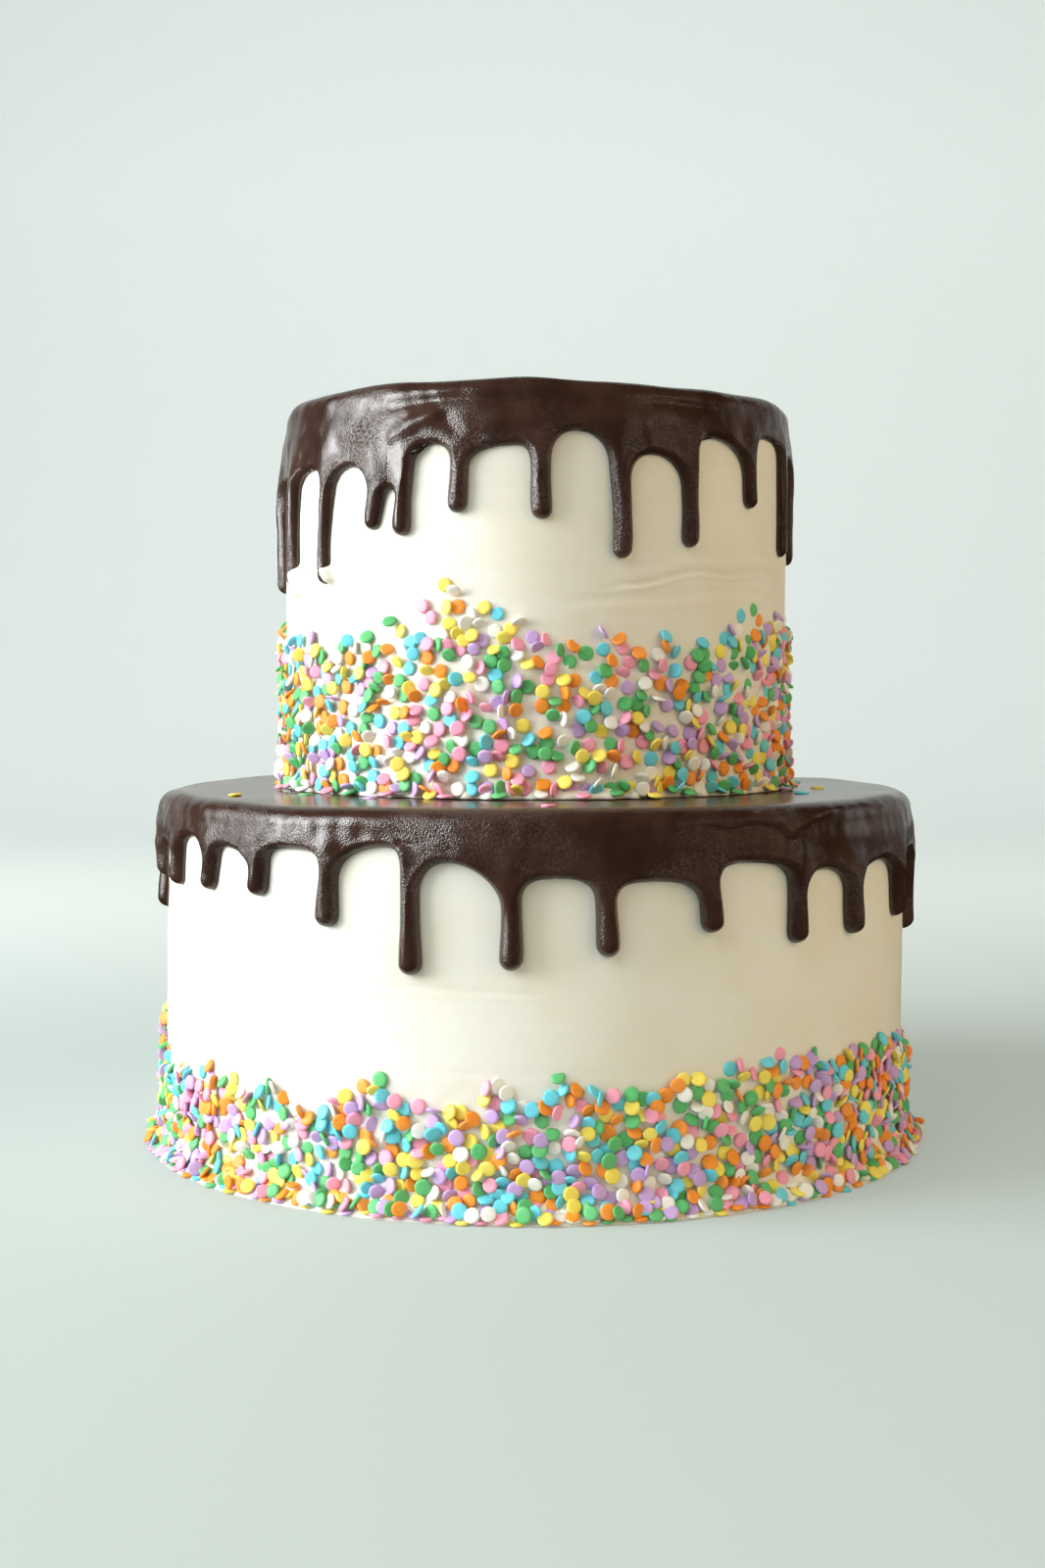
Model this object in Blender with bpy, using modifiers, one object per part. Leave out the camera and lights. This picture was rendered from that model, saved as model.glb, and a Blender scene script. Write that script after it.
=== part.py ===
"""Two-tier drip cake: buttercream tiers, poured chocolate ganache with drips, and confetti.

Metres, +Z up. The origin is the centre of the lower tier's underside and -Y is the front.
A bearing is in degrees round the cake: 0 is the front and +90 is the right-hand side (+X).
A drop is a depth below the flat top of the ganache. A small mesh gap keeps the nodes apart.
"""

import math
import random

import bmesh
import bpy
from mathutils import Matrix, Vector

MM = 0.001

# Buttercream tiers
TURN_STEPS = 60
MESH_GAP = 0.3 * MM
TIER_EDGE = 2.6 * MM
LOWER_RADIUS = 120.4 * MM
LOWER_HEIGHT = 109.9 * MM
UPPER_RADIUS = 82.6 * MM
UPPER_HEIGHT = 120.8 * MM
FOOT_SPREAD = 5.2 * MM
FOOT_HEIGHT = 10.0 * MM

# Ganache thickness on top, under the rim, at the skirt's edge and along a drip's spine
LOWER_COAT = {"top": 2.6 * MM, "rim": 2.9 * MM, "side": 3.5 * MM, "drip": 4.0 * MM}
UPPER_COAT = {"top": 2.4 * MM, "rim": 1.1 * MM, "side": 2.5 * MM, "drip": 3.1 * MM}
LOWER_LEDGE = LOWER_HEIGHT + MESH_GAP + LOWER_COAT["top"]
UPPER_BASE = LOWER_LEDGE + MESH_GAP

# Grid of one drip's strip of ganache: places across it and steps over the rim
COLUMNS = (-1.0, -0.5, 0.0, 0.5, 1.0)
RIM_STEPS = 3
SKIRT_EDGE = 2.0 * MM

# Half-width of a drip at its neck and at the bulb over its tip
LOWER_DRIP_WIDTH = {"neck": 2.75 * MM, "bulb": 3.35 * MM}
UPPER_DRIP_WIDTH = {"neck": 2.4 * MM, "bulb": 2.9 * MM}

# Drips that face the front, as (bearing, drop of the tip in mm)
LOWER_DRIPS = (
    (-87, 39.3), (-77, 27.2), (-63.4, 27.5), (-51.5, 27.0), (-40.2, 26.9), (-28.2, 34.0),
    (-16.4, 46.1), (-3.0, 44.2), (9.3, 40.7), (23.6, 35.1), (37.9, 39.9), (50.2, 39.5),
    (66.0, 37.6), (84.0, 45.7),
)
UPPER_DRIPS = (
    (-86, 60.0), (-66, 59.5), (-49.7, 59.1), (-34.6, 43.6), (-27.5, 45.8), (-15.3, 39.6),
    (1.4, 41.7), (17.5, 52.9), (33.7, 49.1), (51.9, 35.9), (69.7, 49.3), (83, 50.9),
)

# Arches between them. One stands before each drip and one ends the row. Each is (bearing and drop
# of its top, then height and squareness of its left shoulder, then of its right), drop and heights
# in mm. A squareness of 2 is a quarter ellipse, and more is a flatter top with a tighter corner.
LOWER_ARCHES = (
    (-94, 14.0, 8.0, 2.0, 8.0, 2.0), (-82, 15.0, 6.0, 2.2, 6.0, 2.2), (-71, 16.0, 5.0, 2.4, 5.0, 2.4),
    (-57.9, 11.6, 5.0, 2.4, 8.0, 2.0), (-48.3, 13.8, 4.0, 2.6, 8.0, 2.0),
    (-34.0, 12.8, 5.0, 3.4, 5.5, 3.2), (-19.6, 11.2, 10.0, 2.2, 7.0, 2.8),
    (-11.2, 15.1, 9.0, 2.2, 12.0, 1.8), (2.7, 19.2, 7.0, 2.8, 7.5, 3.0),
    (15.8, 20.4, 6.0, 3.2, 7.5, 2.6), (28.2, 16.2, 6.0, 2.6, 8.0, 3.0), (43.5, 19.7, 6.5, 2.3, 7.0, 2.2),
    (58.4, 19.0, 7.0, 2.2, 7.0, 2.4), (76, 19.0, 6.0, 2.2, 6.0, 2.2), (92, 16.0, 8.0, 2.0, 8.0, 2.0),
)
UPPER_ARCHES = (
    (-95, 21.0, 8.0, 2.0, 8.0, 2.0), (-77, 24.0, 6.0, 2.2, 6.0, 2.2), (-57.0, 23.6, 6.0, 2.2, 7.0, 2.2),
    (-42.2, 24.2, 7.0, 2.2, 10.0, 2.0), (-31.0, 31.8, 2.5, 2.0, 2.5, 2.0),
    (-21.4, 19.3, 7.0, 2.4, 6.0, 2.6), (-3.6, 20.2, 6.5, 2.4, 6.0, 2.6), (8.6, 15.9, 8.0, 2.3, 9.0, 2.1),
    (24.8, 22.2, 8.0, 2.3, 9.0, 2.1), (40.2, 16.0, 5.0, 2.6, 10.0, 2.0), (59.5, 13.6, 6.0, 2.5, 6.0, 2.5),
    (76.8, 17.0, 6.0, 2.2, 6.0, 2.2), (91, 18.0, 8.0, 2.0, 8.0, 2.0),
)
BACK_SPACING = 15.0
BACK_SHOULDER = (6.0, 9.0)
LOWER_BACK = {"tip": (28.0, 46.0), "arch": (12.0, 20.0), "seed": 7}
UPPER_BACK = {"tip": (36.0, 56.0), "arch": (14.0, 24.0), "seed": 11}

# Confetti: flat round sprinkles
CONFETTI_RADIUS = 2.2 * MM
CONFETTI_THICKNESS = 1.1 * MM
CONFETTI_SIDES = 6
CONFETTI_STAND = 0.3 * MM
CONFETTI_TILT = 24.0
LOWER_CONFETTI = 108
UPPER_CONFETTI = 82
LOWER_CONFETTI_SEED = 3000
UPPER_CONFETTI_SEED = 5000

# Height of the confetti band over the tier's base, as (bearing, height in mm)
LOWER_BAND = (
    (-79, 37), (-66, 30), (-48, 32), (-36, 31), (-31, 28), (-22, 36), (-13, 31), (-6, 35),
    (7, 36), (20, 37), (34, 42), (48, 38), (57, 38), (79, 33),
)
UPPER_BAND = (
    (-80, 50), (-51, 45), (-41, 48), (-30, 48), (-24, 57), (-16, 61), (-5, 57), (1, 48),
    (20, 46), (37, 45), (53, 54), (80, 52),
)

# Loose confetti on the ledge between the tiers, as (bearing, distance from the axis in mm)
LEDGE_CONFETTI = (
    (-57.5, 107.8), (-50, 90.5), (-33, 89.0), (2, 113.0), (60.6, 95.0), (79.6, 93.5), (104, 92.5),
    (153, 101.0), (-131, 94.0),
)


def direction(bearing):
    """Level unit vector that points outwards at this bearing."""
    angle = math.radians(bearing)
    return Vector((math.sin(angle), -math.cos(angle), 0.0))


def clear_scene():
    for obj in list(bpy.data.objects):
        bpy.data.objects.remove(obj, do_unlink=True)


def new_collection(name):
    collection = bpy.data.collections.new(name)
    bpy.context.scene.collection.children.link(collection)
    return collection


def new_material(name, colour, roughness):
    material = bpy.data.materials.new(name)
    material.use_nodes = True
    shader = material.node_tree.nodes["Principled BSDF"]
    shader.inputs["Base Color"].default_value = (*colour, 1.0)
    shader.inputs["Roughness"].default_value = roughness
    shader.inputs["Metallic"].default_value = 0.0
    return material


def add_object(name, mesh, collection, material=None):
    obj = bpy.data.objects.new(name, mesh)
    collection.objects.link(obj)
    if material is not None:
        mesh.materials.clear()
        mesh.materials.append(material)
    return obj


def apply_modifiers(obj):
    """Replace the object's mesh by its evaluated mesh and drop the modifiers."""
    bpy.context.view_layer.update()
    graph = bpy.context.evaluated_depsgraph_get()
    mesh = bpy.data.meshes.new_from_object(obj.evaluated_get(graph))
    obj.modifiers.clear()
    obj.data = mesh


def shade_round(obj, sharp_over=35.0):
    obj.data.shade_smooth()
    obj.data.set_sharp_from_angle(angle=math.radians(sharp_over))


def tier_profile(radius, height, foot_spread, foot_height):
    """Half outline of a tier from the axis at the top to the axis at the base.

    The top edge is a quarter circle. The foot spreads in a concave sweep, where confetti piles up.
    """
    points = [(0.0, height)]
    for step in range(4):
        angle = math.radians(90.0 - 30.0 * step)
        points.append((
            radius - TIER_EDGE + TIER_EDGE * math.cos(angle),
            height - TIER_EDGE + TIER_EDGE * math.sin(angle),
        ))
    if foot_spread > 0.0:
        points.append((radius, foot_height))
        points.append((radius + 0.22 * foot_spread, 0.6 * foot_height))
        points.append((radius + 0.65 * foot_spread, 0.22 * foot_height))
    points.append((radius + foot_spread, 0.0))
    points.append((0.0, 0.0))
    return points


def turned_body(name, profile, base, collection, material):
    """Solid of revolution about Z: the profile runs from top to bottom on the +X side."""
    mesh = bpy.data.meshes.new(name)
    vertices = [(x, 0.0, base + z) for x, z in profile]
    edges = [(i, i + 1) for i in range(len(profile) - 1)]
    mesh.from_pydata(vertices, edges, [])
    obj = add_object(name, mesh, collection, material)
    screw = obj.modifiers.new("turn", "SCREW")
    screw.axis = "Z"
    screw.steps = TURN_STEPS
    screw.render_steps = TURN_STEPS
    screw.use_merge_vertices = True
    screw.merge_threshold = 0.00001
    apply_modifiers(obj)
    return obj


def whole_row(drips, arches, back):
    """The front drips and arches, continued round the hidden back by an even, seeded rule."""
    draw = random.Random(back["seed"])
    start = arches[-1][0]
    gap = arches[0][0] + 360.0 - start
    count = max(1, round(gap / BACK_SPACING))
    step = gap / count
    row_drips = list(drips)
    row_arches = list(arches)
    for number in range(count):
        centre = start + (number + 0.5 + draw.uniform(-0.12, 0.12)) * step
        row_drips.append((centre, draw.uniform(*back["tip"])))
        if number < count - 1:
            edge = start + (number + 1.0 + draw.uniform(-0.08, 0.08)) * step
            drop = draw.uniform(*back["arch"])
            heights = draw.uniform(*BACK_SHOULDER), draw.uniform(*BACK_SHOULDER)
            row_arches.append((edge, drop, heights[0], 2.3, heights[1], 2.3))
    row_arches.append((arches[0][0] + 360.0, *arches[0][1:]))
    return row_drips, row_arches


def outline_half_width(depth, tip, arch, shoulder, half_gap, width):
    """Half-width of one side of a drip at this drop.

    Over the arch it is the whole half gap to the next drip. The shoulder, as (height, squareness),
    is a quarter of a superellipse down to the neck, the neck swells into the bulb, and the bulb
    ends in a half circle.
    """
    over_tip = tip - depth
    neck, bulb = width["neck"], width["bulb"]
    if over_tip <= bulb:
        return bulb * math.sqrt(max(0.0, 1.0 - ((bulb - over_tip) / bulb) ** 2))
    waist = neck + (bulb - neck) * math.exp(-(((over_tip - bulb) / (2.2 * bulb)) ** 2))
    share = (depth - arch) / shoulder[0]
    if share >= 1.0:
        return waist
    flat = 1.0 - (1.0 - max(0.0, share)) ** shoulder[1]
    return waist + (half_gap - waist) * (1.0 - flat ** (1.0 / shoulder[1]))


def spine_thickness(depth, tip, arch, coat, width):
    """Thickness on a drip's centre line: the skirt's at the arch, growing to the bulb's at the tip."""
    bulb = width["bulb"]
    over_tip = tip - depth
    growth = min(1.0, max(0.0, (depth - arch) / (tip - arch - bulb)))
    thickness = coat["side"] + (coat["drip"] - coat["side"]) * growth
    if over_tip < bulb:
        thickness *= math.sqrt(max(0.0, 1.0 - ((bulb - over_tip) / bulb) ** 2))
    return thickness


def drip_levels(arch, tip, shoulder_height, bulb):
    """Drops of a drip's rows, close together where its outline bends: at the arch and at the tip."""
    return (
        arch, arch + 0.12 * shoulder_height, arch + 0.55 * shoulder_height,
        tip - 1.15 * bulb, tip - 0.35 * bulb, tip,
    )


def ganache_sheet(name, radius, height, base, coat, width, row, collection, material):
    """Poured coat over one tier: a flat top, a rounded rim, and a skirt that ends in drips.

    Each drip owns the strip of skirt between the two arches beside it. A strip is a grid: its
    columns run from arch to arch, its rows from the axis outwards, over the rim and down to the
    tip. The outer sheet stands off the inner sheet by the coat's thickness, which falls to zero
    along the outline, so the two sheets close there.
    """
    drips, arches = row
    inner_radius = radius + MESH_GAP
    inner_top = base + height + MESH_GAP
    inner_edge = TIER_EDGE + MESH_GAP
    top = inner_top + coat["top"]
    build = bmesh.new()

    def point(bearing, level, reach):
        return build.verts.new(direction(bearing) * reach + Vector((0.0, 0.0, level)))

    def rim_point(bearing, step, thick):
        angle = math.radians(90.0 - 90.0 * step / RIM_STEPS)
        side = inner_edge + (coat["rim"] if thick else 0.0)
        rise = inner_edge + (coat["top"] if thick else 0.0)
        return point(
            bearing,
            inner_top - inner_edge + rise * math.sin(angle),
            inner_radius - inner_edge + side * math.cos(angle),
        )

    def side_point(bearing, drop, thickness):
        return point(bearing, top - drop, inner_radius + thickness)

    for index, (bearing, tip_mm) in enumerate(drips):
        tip = tip_mm * MM
        left, right = arches[index], arches[index + 1]
        per_degree = math.radians(1.0) * inner_radius
        gaps = ((bearing - left[0]) * per_degree, (right[0] - bearing) * per_degree)
        edges = (left[1] * MM, right[1] * MM)
        shoulders = ((left[4] * MM, left[5]), (right[2] * MM, right[3]))
        sheets = {True: [], False: []}
        for thick, rows in sheets.items():
            upper = []
            for u in COLUMNS:
                at = bearing + u * (gaps[0] if u < 0 else gaps[1]) / per_degree
                arch = edges[0] + (edges[1] - edges[0]) * (u + 1.0) / 2.0
                column = [point(at, top if thick else inner_top, 0.0)]
                column += [rim_point(at, step, thick) for step in range(RIM_STEPS + 1)]
                if thick:
                    column.append(side_point(at, arch - SKIRT_EDGE, coat["side"]))
                upper.append(column)
            rows.extend([list(line) for line in zip(*upper)])
            lower = []
            for u in COLUMNS:
                side = 0 if u < 0 else 1
                arch = edges[0] + (edges[1] - edges[0]) * (u + 1.0) / 2.0
                across = math.sqrt(max(0.0, 1.0 - abs(u) ** 2.4)) if thick else 0.0
                reach_down = shoulders[0][0] + (shoulders[1][0] - shoulders[0][0]) * (u + 1.0) / 2.0
                column = []
                for drop in drip_levels(arch, tip, reach_down, width["bulb"]):
                    half = outline_half_width(
                        drop, tip, edges[side], shoulders[side], gaps[side], width,
                    )
                    thickness = spine_thickness(drop, tip, arch, coat, width) * across
                    column.append(side_point(bearing + u * half / per_degree, drop, thickness))
                lower.append(column)
            rows.extend([list(line) for line in zip(*lower)])

        for upper_row, lower_row in zip(sheets[True], sheets[True][1:]):
            for a, b, c, d in zip(upper_row, upper_row[1:], lower_row[1:], lower_row):
                build.faces.new((d, c, b, a))

        # The inner sheet lies against the tier. Where the drip is narrow, one face spans it.
        inner = sheets[False]
        narrow = RIM_STEPS + 3
        for number, (upper_row, lower_row) in enumerate(zip(inner, inner[1:])):
            if number < narrow:
                for a, b, c, d in zip(upper_row, upper_row[1:], lower_row[1:], lower_row):
                    build.faces.new((a, b, c, d))
            elif number == narrow:
                build.faces.new((*upper_row, lower_row[-1], lower_row[0]))
            else:
                build.faces.new((upper_row[0], upper_row[-1], lower_row[-1], lower_row[0]))

    bmesh.ops.remove_doubles(build, verts=build.verts, dist=0.002 * MM)
    bmesh.ops.delete(build, geom=[v for v in build.verts if not v.link_faces], context="VERTS")
    bmesh.ops.triangulate(build, faces=build.faces)
    mesh = bpy.data.meshes.new(name)
    build.to_mesh(mesh)
    build.free()
    return add_object(name, mesh, collection, material)


def band_height(band, bearing):
    """Height of the confetti band at this bearing, eased from one measured place to the next."""
    places = list(band) + [(180.0, sum(h for _, h in band) / len(band)), (band[0][0] + 360, band[0][1])]
    if bearing < places[0][0]:
        bearing += 360.0
    for (start, low), (end, high) in zip(places, places[1:]):
        if bearing <= end:
            share = (bearing - start) / (end - start)
            return (low + (high - low) * (1.0 - math.cos(math.pi * share)) / 2.0) * MM
    return places[-1][1] * MM


def even_spot(number, count):
    """Fractions of the way round and up a long low band, for spot number of count.

    The spots step evenly round it, and the golden ratio keeps neighbours at unlike heights.
    """
    golden = 0.6180339887
    return (number + 0.5) / count, (0.5 + number * golden) % 1.0


def confetti_matrix(centre, normal, tilt, heading, spin):
    """Place of one disc: its axis leans off the normal by tilt, towards heading, both in degrees."""
    across = Vector((0.0, 0.0, 1.0)).cross(normal)
    across = across.normalized() if across.length > 0.01 else Vector((1.0, 0.0, 0.0))
    lean_axis = Matrix.Rotation(math.radians(heading), 3, normal) @ across
    axis = Matrix.Rotation(math.radians(tilt), 3, lean_axis) @ normal
    turn = axis.to_track_quat("Z", "Y").to_matrix().to_4x4()
    return Matrix.Translation(centre) @ turn @ Matrix.Rotation(math.radians(spin), 4, "Z")


def confetti_disc(number, matrix, collection):
    build = bmesh.new()
    bmesh.ops.create_cone(
        build, cap_ends=True, segments=CONFETTI_SIDES, depth=CONFETTI_THICKNESS,
        radius1=CONFETTI_RADIUS, radius2=CONFETTI_RADIUS, matrix=matrix,
    )
    name = f"{collection.name}_{number:03d}"
    mesh = bpy.data.meshes.new(name)
    build.to_mesh(mesh)
    build.free()
    return add_object(name, mesh, collection)


def side_confetti(prefix, count, seed, radius, base, band, foot_spread):
    """Discs pressed flat or a little askew into the tier's side, closest together near its base."""
    helpers = new_collection(prefix)
    for number in range(count):
        draw = random.Random(seed + number)
        share_round, share_up = even_spot(number, count)
        bearing = -180.0 + 360.0 * (share_round + draw.uniform(-0.3, 0.3) / count)
        rise = band_height(band, bearing) * (1.0 - (1.0 - share_up) ** 0.72)
        out = direction(bearing)
        lean = 0.0
        reach = radius
        if rise < FOOT_HEIGHT and foot_spread > 0.0:
            slope = 1.0 - rise / FOOT_HEIGHT
            reach += foot_spread * slope**2
            lean = 52.0 * slope
        normal = Matrix.Rotation(math.radians(-lean), 3, Vector((0, 0, 1)).cross(out)) @ out
        tilt = CONFETTI_TILT * draw.random()
        lowest = CONFETTI_RADIUS * math.cos(math.radians(max(0.0, lean - tilt)))
        level = max(rise, lowest + CONFETTI_THICKNESS / 2)
        stand = CONFETTI_STAND + 0.3 * CONFETTI_RADIUS * math.sin(math.radians(tilt))
        centre = out * reach + Vector((0.0, 0.0, base + level)) + normal * stand
        spin = 60.0 * draw.random()
        matrix = confetti_matrix(centre, normal, tilt, 360.0 * draw.random(), spin)
        confetti_disc(number, matrix, helpers)
    return helpers


def ledge_confetti(prefix):
    helpers = new_collection(prefix)
    for number, (bearing, distance) in enumerate(LEDGE_CONFETTI):
        draw = random.Random(number)
        centre = direction(bearing) * distance * MM
        centre.z = LOWER_LEDGE + 0.25 * CONFETTI_THICKNESS
        tilt = 3.0 + 5.0 * draw.random()
        matrix = confetti_matrix(centre, Vector((0, 0, 1)), tilt, 360.0 * draw.random(), 0.0)
        confetti_disc(number, matrix, helpers)
    return helpers


def keep_outer_shell(obj):
    """Drop loose scraps and the walls of hollows that the union has sealed."""
    build = bmesh.new()
    build.from_mesh(obj.data)
    waiting = set(build.faces)
    shells = []
    while waiting:
        shell = {waiting.pop()}
        front = list(shell)
        while front:
            face = front.pop()
            for edge in face.edges:
                for other in edge.link_faces:
                    if other in waiting:
                        waiting.remove(other)
                        shell.add(other)
                        front.append(other)
        shells.append(shell)
    largest = max(shells, key=len)
    spare = [face for shell in shells if shell is not largest for face in shell]
    bmesh.ops.delete(build, geom=spare, context="FACES")
    build.to_mesh(obj.data)
    build.free()


def fuse(obj, helpers):
    """Join the confetti to what it lies on with one union, then remove the loose discs."""
    union = obj.modifiers.new("confetti", "BOOLEAN")
    union.operation = "UNION"
    union.operand_type = "COLLECTION"
    union.collection = helpers
    union.solver = "MANIFOLD"
    material = obj.data.materials[0]
    apply_modifiers(obj)
    obj.data.materials.clear()
    obj.data.materials.append(material)
    for helper in list(helpers.objects):
        bpy.data.objects.remove(helper, do_unlink=True)
    bpy.data.collections.remove(helpers)
    keep_outer_shell(obj)


def build_cake():
    clear_scene()
    cake = new_collection("drip_cake")
    buttercream = new_material("vanilla_buttercream", (0.86, 0.80, 0.66), 0.55)
    chocolate = new_material("chocolate_ganache", (0.045, 0.022, 0.016), 0.32)

    lower_outline = tier_profile(LOWER_RADIUS, LOWER_HEIGHT, FOOT_SPREAD, FOOT_HEIGHT)
    lower_tier = turned_body("lower_tier", lower_outline, 0.0, cake, buttercream)
    fuse(lower_tier, side_confetti(
        "lower_confetti", LOWER_CONFETTI, LOWER_CONFETTI_SEED, LOWER_RADIUS, 0.0, LOWER_BAND, FOOT_SPREAD,
    ))

    upper_outline = tier_profile(UPPER_RADIUS, UPPER_HEIGHT, 0.0, 0.0)
    upper_tier = turned_body("upper_tier", upper_outline, UPPER_BASE, cake, buttercream)
    fuse(upper_tier, side_confetti(
        "upper_confetti", UPPER_CONFETTI, UPPER_CONFETTI_SEED, UPPER_RADIUS, UPPER_BASE, UPPER_BAND, 0.0,
    ))

    lower_ganache = ganache_sheet(
        "lower_ganache", LOWER_RADIUS, LOWER_HEIGHT, 0.0, LOWER_COAT, LOWER_DRIP_WIDTH,
        whole_row(LOWER_DRIPS, LOWER_ARCHES, LOWER_BACK), cake, chocolate,
    )
    fuse(lower_ganache, ledge_confetti("ledge_confetti"))
    upper_ganache = ganache_sheet(
        "upper_ganache", UPPER_RADIUS, UPPER_HEIGHT, UPPER_BASE, UPPER_COAT, UPPER_DRIP_WIDTH,
        whole_row(UPPER_DRIPS, UPPER_ARCHES, UPPER_BACK), cake, chocolate,
    )
    for obj in (lower_tier, upper_tier, lower_ganache, upper_ganache):
        shade_round(obj)


build_cake()
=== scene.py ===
# %% [markdown]
# Two-tier drip cake
#
# The real cake is two drums of sponge coated in vanilla buttercream, one on the other. Warm dark
# ganache was poured over each, ran over the rim and set in drips, and round sugar confetti was
# pressed into the lower part of each side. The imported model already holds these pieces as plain
# solids at their true size. Everything below dresses them: each solid is replaced by a finer
# surface of the same form, worked out with numpy from the same few sizes.

import math
import random

import bmesh
import bpy
import numpy as np
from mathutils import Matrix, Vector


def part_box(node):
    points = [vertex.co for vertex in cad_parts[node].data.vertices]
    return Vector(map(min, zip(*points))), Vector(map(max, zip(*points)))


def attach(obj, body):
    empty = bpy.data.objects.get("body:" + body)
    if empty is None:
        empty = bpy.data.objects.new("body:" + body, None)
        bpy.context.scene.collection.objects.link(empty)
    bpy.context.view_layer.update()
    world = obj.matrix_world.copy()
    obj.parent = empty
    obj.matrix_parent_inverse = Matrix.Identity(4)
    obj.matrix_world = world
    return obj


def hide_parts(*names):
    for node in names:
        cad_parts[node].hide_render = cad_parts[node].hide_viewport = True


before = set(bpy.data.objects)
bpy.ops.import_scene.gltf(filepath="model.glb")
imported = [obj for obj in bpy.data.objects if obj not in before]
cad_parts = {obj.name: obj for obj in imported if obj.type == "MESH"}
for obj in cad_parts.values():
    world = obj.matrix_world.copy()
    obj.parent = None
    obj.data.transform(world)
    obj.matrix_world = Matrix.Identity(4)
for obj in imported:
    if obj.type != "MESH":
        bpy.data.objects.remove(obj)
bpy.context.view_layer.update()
print("frame nodes:", sorted(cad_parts))

# %% [markdown]
# Sizes
#
# A bearing is in degrees round the cake: 0 faces the camera and +90 is the right-hand side. A drop
# is a depth below the flat top of the ganache, and a level is a height over the floor. The radii,
# coats and drips are those of the solids, so that each finer surface lies where its solid lay.
# The top's level comes from the frame's own box, and the upper tier's base from that.

# %% Driving sizes
MM = 0.001
GAP = 0.3 * MM
TIER_EDGE = 2.6 * MM
LOWER = {"radius": 120.4 * MM, "height": 109.9 * MM, "base": 0.0, "foot": 5.2 * MM}
UPPER = {"radius": 82.6 * MM, "height": 120.8 * MM, "foot": 0.0}
FOOT_HEIGHT = 10.0 * MM
LOWER_COAT = {
    "top": 2.6 * MM, "rim": 2.9 * MM, "side": 3.5 * MM, "drip": 4.0 * MM,
    "neck": 2.75 * MM, "bulb": 3.35 * MM,
}
UPPER_COAT = {
    "top": 2.4 * MM, "rim": 1.1 * MM, "side": 2.5 * MM, "drip": 3.1 * MM,
    "neck": 2.4 * MM, "bulb": 2.9 * MM,
}
LEDGE = LOWER["height"] + GAP + LOWER_COAT["top"]
CAKE_TOP = float(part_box("upper_ganache")[1][2])
UPPER["base"] = CAKE_TOP - UPPER_COAT["top"] - GAP - UPPER["height"]
print(f"ledge at {LEDGE / MM:.1f} mm, upper tier from {UPPER['base'] / MM:.1f} to {CAKE_TOP / MM:.1f} mm")

# %% [markdown]
# Where the ganache ran
#
# Every cake drips in its own way, so the drips that face the camera are a list: where each one
# hangs and how far it ran. Between two drips the skirt of ganache stops at an arch. Behind the
# cake, where nothing was seen, a seeded rule goes on with drips of the same kind.

# %% Drips and arches
# Each drip is (bearing, drop of the tip, how far its lower part lies to the right of its neck, and
# how much wider than its neck it starts), drop and shift in mm.
LOWER_DRIPS = (
    (-87, 39.3, 0.0, 0.0), (-77, 27.2, -1.0, 0.0), (-63.4, 27.5, -1.5, 0.0), (-51.5, 27.0, -2.0, 0.05),
    (-40.2, 26.9, -1.3, 0.0), (-28.2, 34.0, -0.7, 0.0), (-16.4, 46.1, 0.4, 0.0), (-3.0, 44.2, 0.2, 0.1),
    (9.3, 40.7, 0.3, 0.15), (23.6, 35.1, 0.5, 0.1), (37.9, 39.9, 0.5, 0.0), (50.2, 39.5, 0.7, 0.2),
    (66.0, 37.6, 0.8, 0.0), (84.0, 45.7, 0.0, 0.0),
)
UPPER_DRIPS = (
    (-86, 60.0, 0.0, 0.1), (-66, 59.5, -1.0, 0.15), (-49.7, 59.1, -1.9, 0.2), (-34.6, 43.6, -2.2, 0.2),
    (-27.5, 45.8, -1.4, 0.3), (-15.3, 39.6, -0.8, 0.3), (1.4, 41.7, 0.0, 0.4), (17.5, 52.9, 1.2, 0.6),
    (33.7, 49.1, 0.7, 0.35), (51.9, 35.9, 0.5, 0.15), (69.7, 49.3, 0.6, 0.1), (83, 50.9, 0.0, 0.1),
)

# Arches between them. One stands before each drip and one ends the row. Each is (bearing and drop
# of its top, then height and squareness of its left shoulder, then of its right), drop and heights
# in mm. A squareness of 2 is a quarter ellipse, and more is a flatter top with a tighter corner.
LOWER_ARCHES = (
    (-94, 14.0, 8.0, 2.0, 8.0, 2.0), (-82, 15.0, 6.0, 2.2, 6.0, 2.2), (-71, 16.0, 5.0, 2.4, 5.0, 2.4),
    (-57.9, 11.6, 5.0, 2.4, 8.0, 2.0), (-48.3, 13.8, 4.0, 2.6, 8.0, 2.0),
    (-34.0, 12.8, 5.0, 3.4, 5.5, 3.2), (-19.6, 11.2, 10.0, 2.2, 7.0, 2.8),
    (-11.2, 15.1, 9.0, 2.2, 12.0, 1.8), (2.7, 19.2, 7.0, 2.8, 7.5, 3.0),
    (15.8, 20.4, 6.0, 3.2, 7.5, 2.6), (28.2, 16.2, 6.0, 2.6, 8.0, 3.0), (43.5, 19.7, 6.5, 2.3, 7.0, 2.2),
    (58.4, 19.0, 7.0, 2.2, 7.0, 2.4), (76, 19.0, 6.0, 2.2, 6.0, 2.2), (92, 16.0, 8.0, 2.0, 8.0, 2.0),
)
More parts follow.
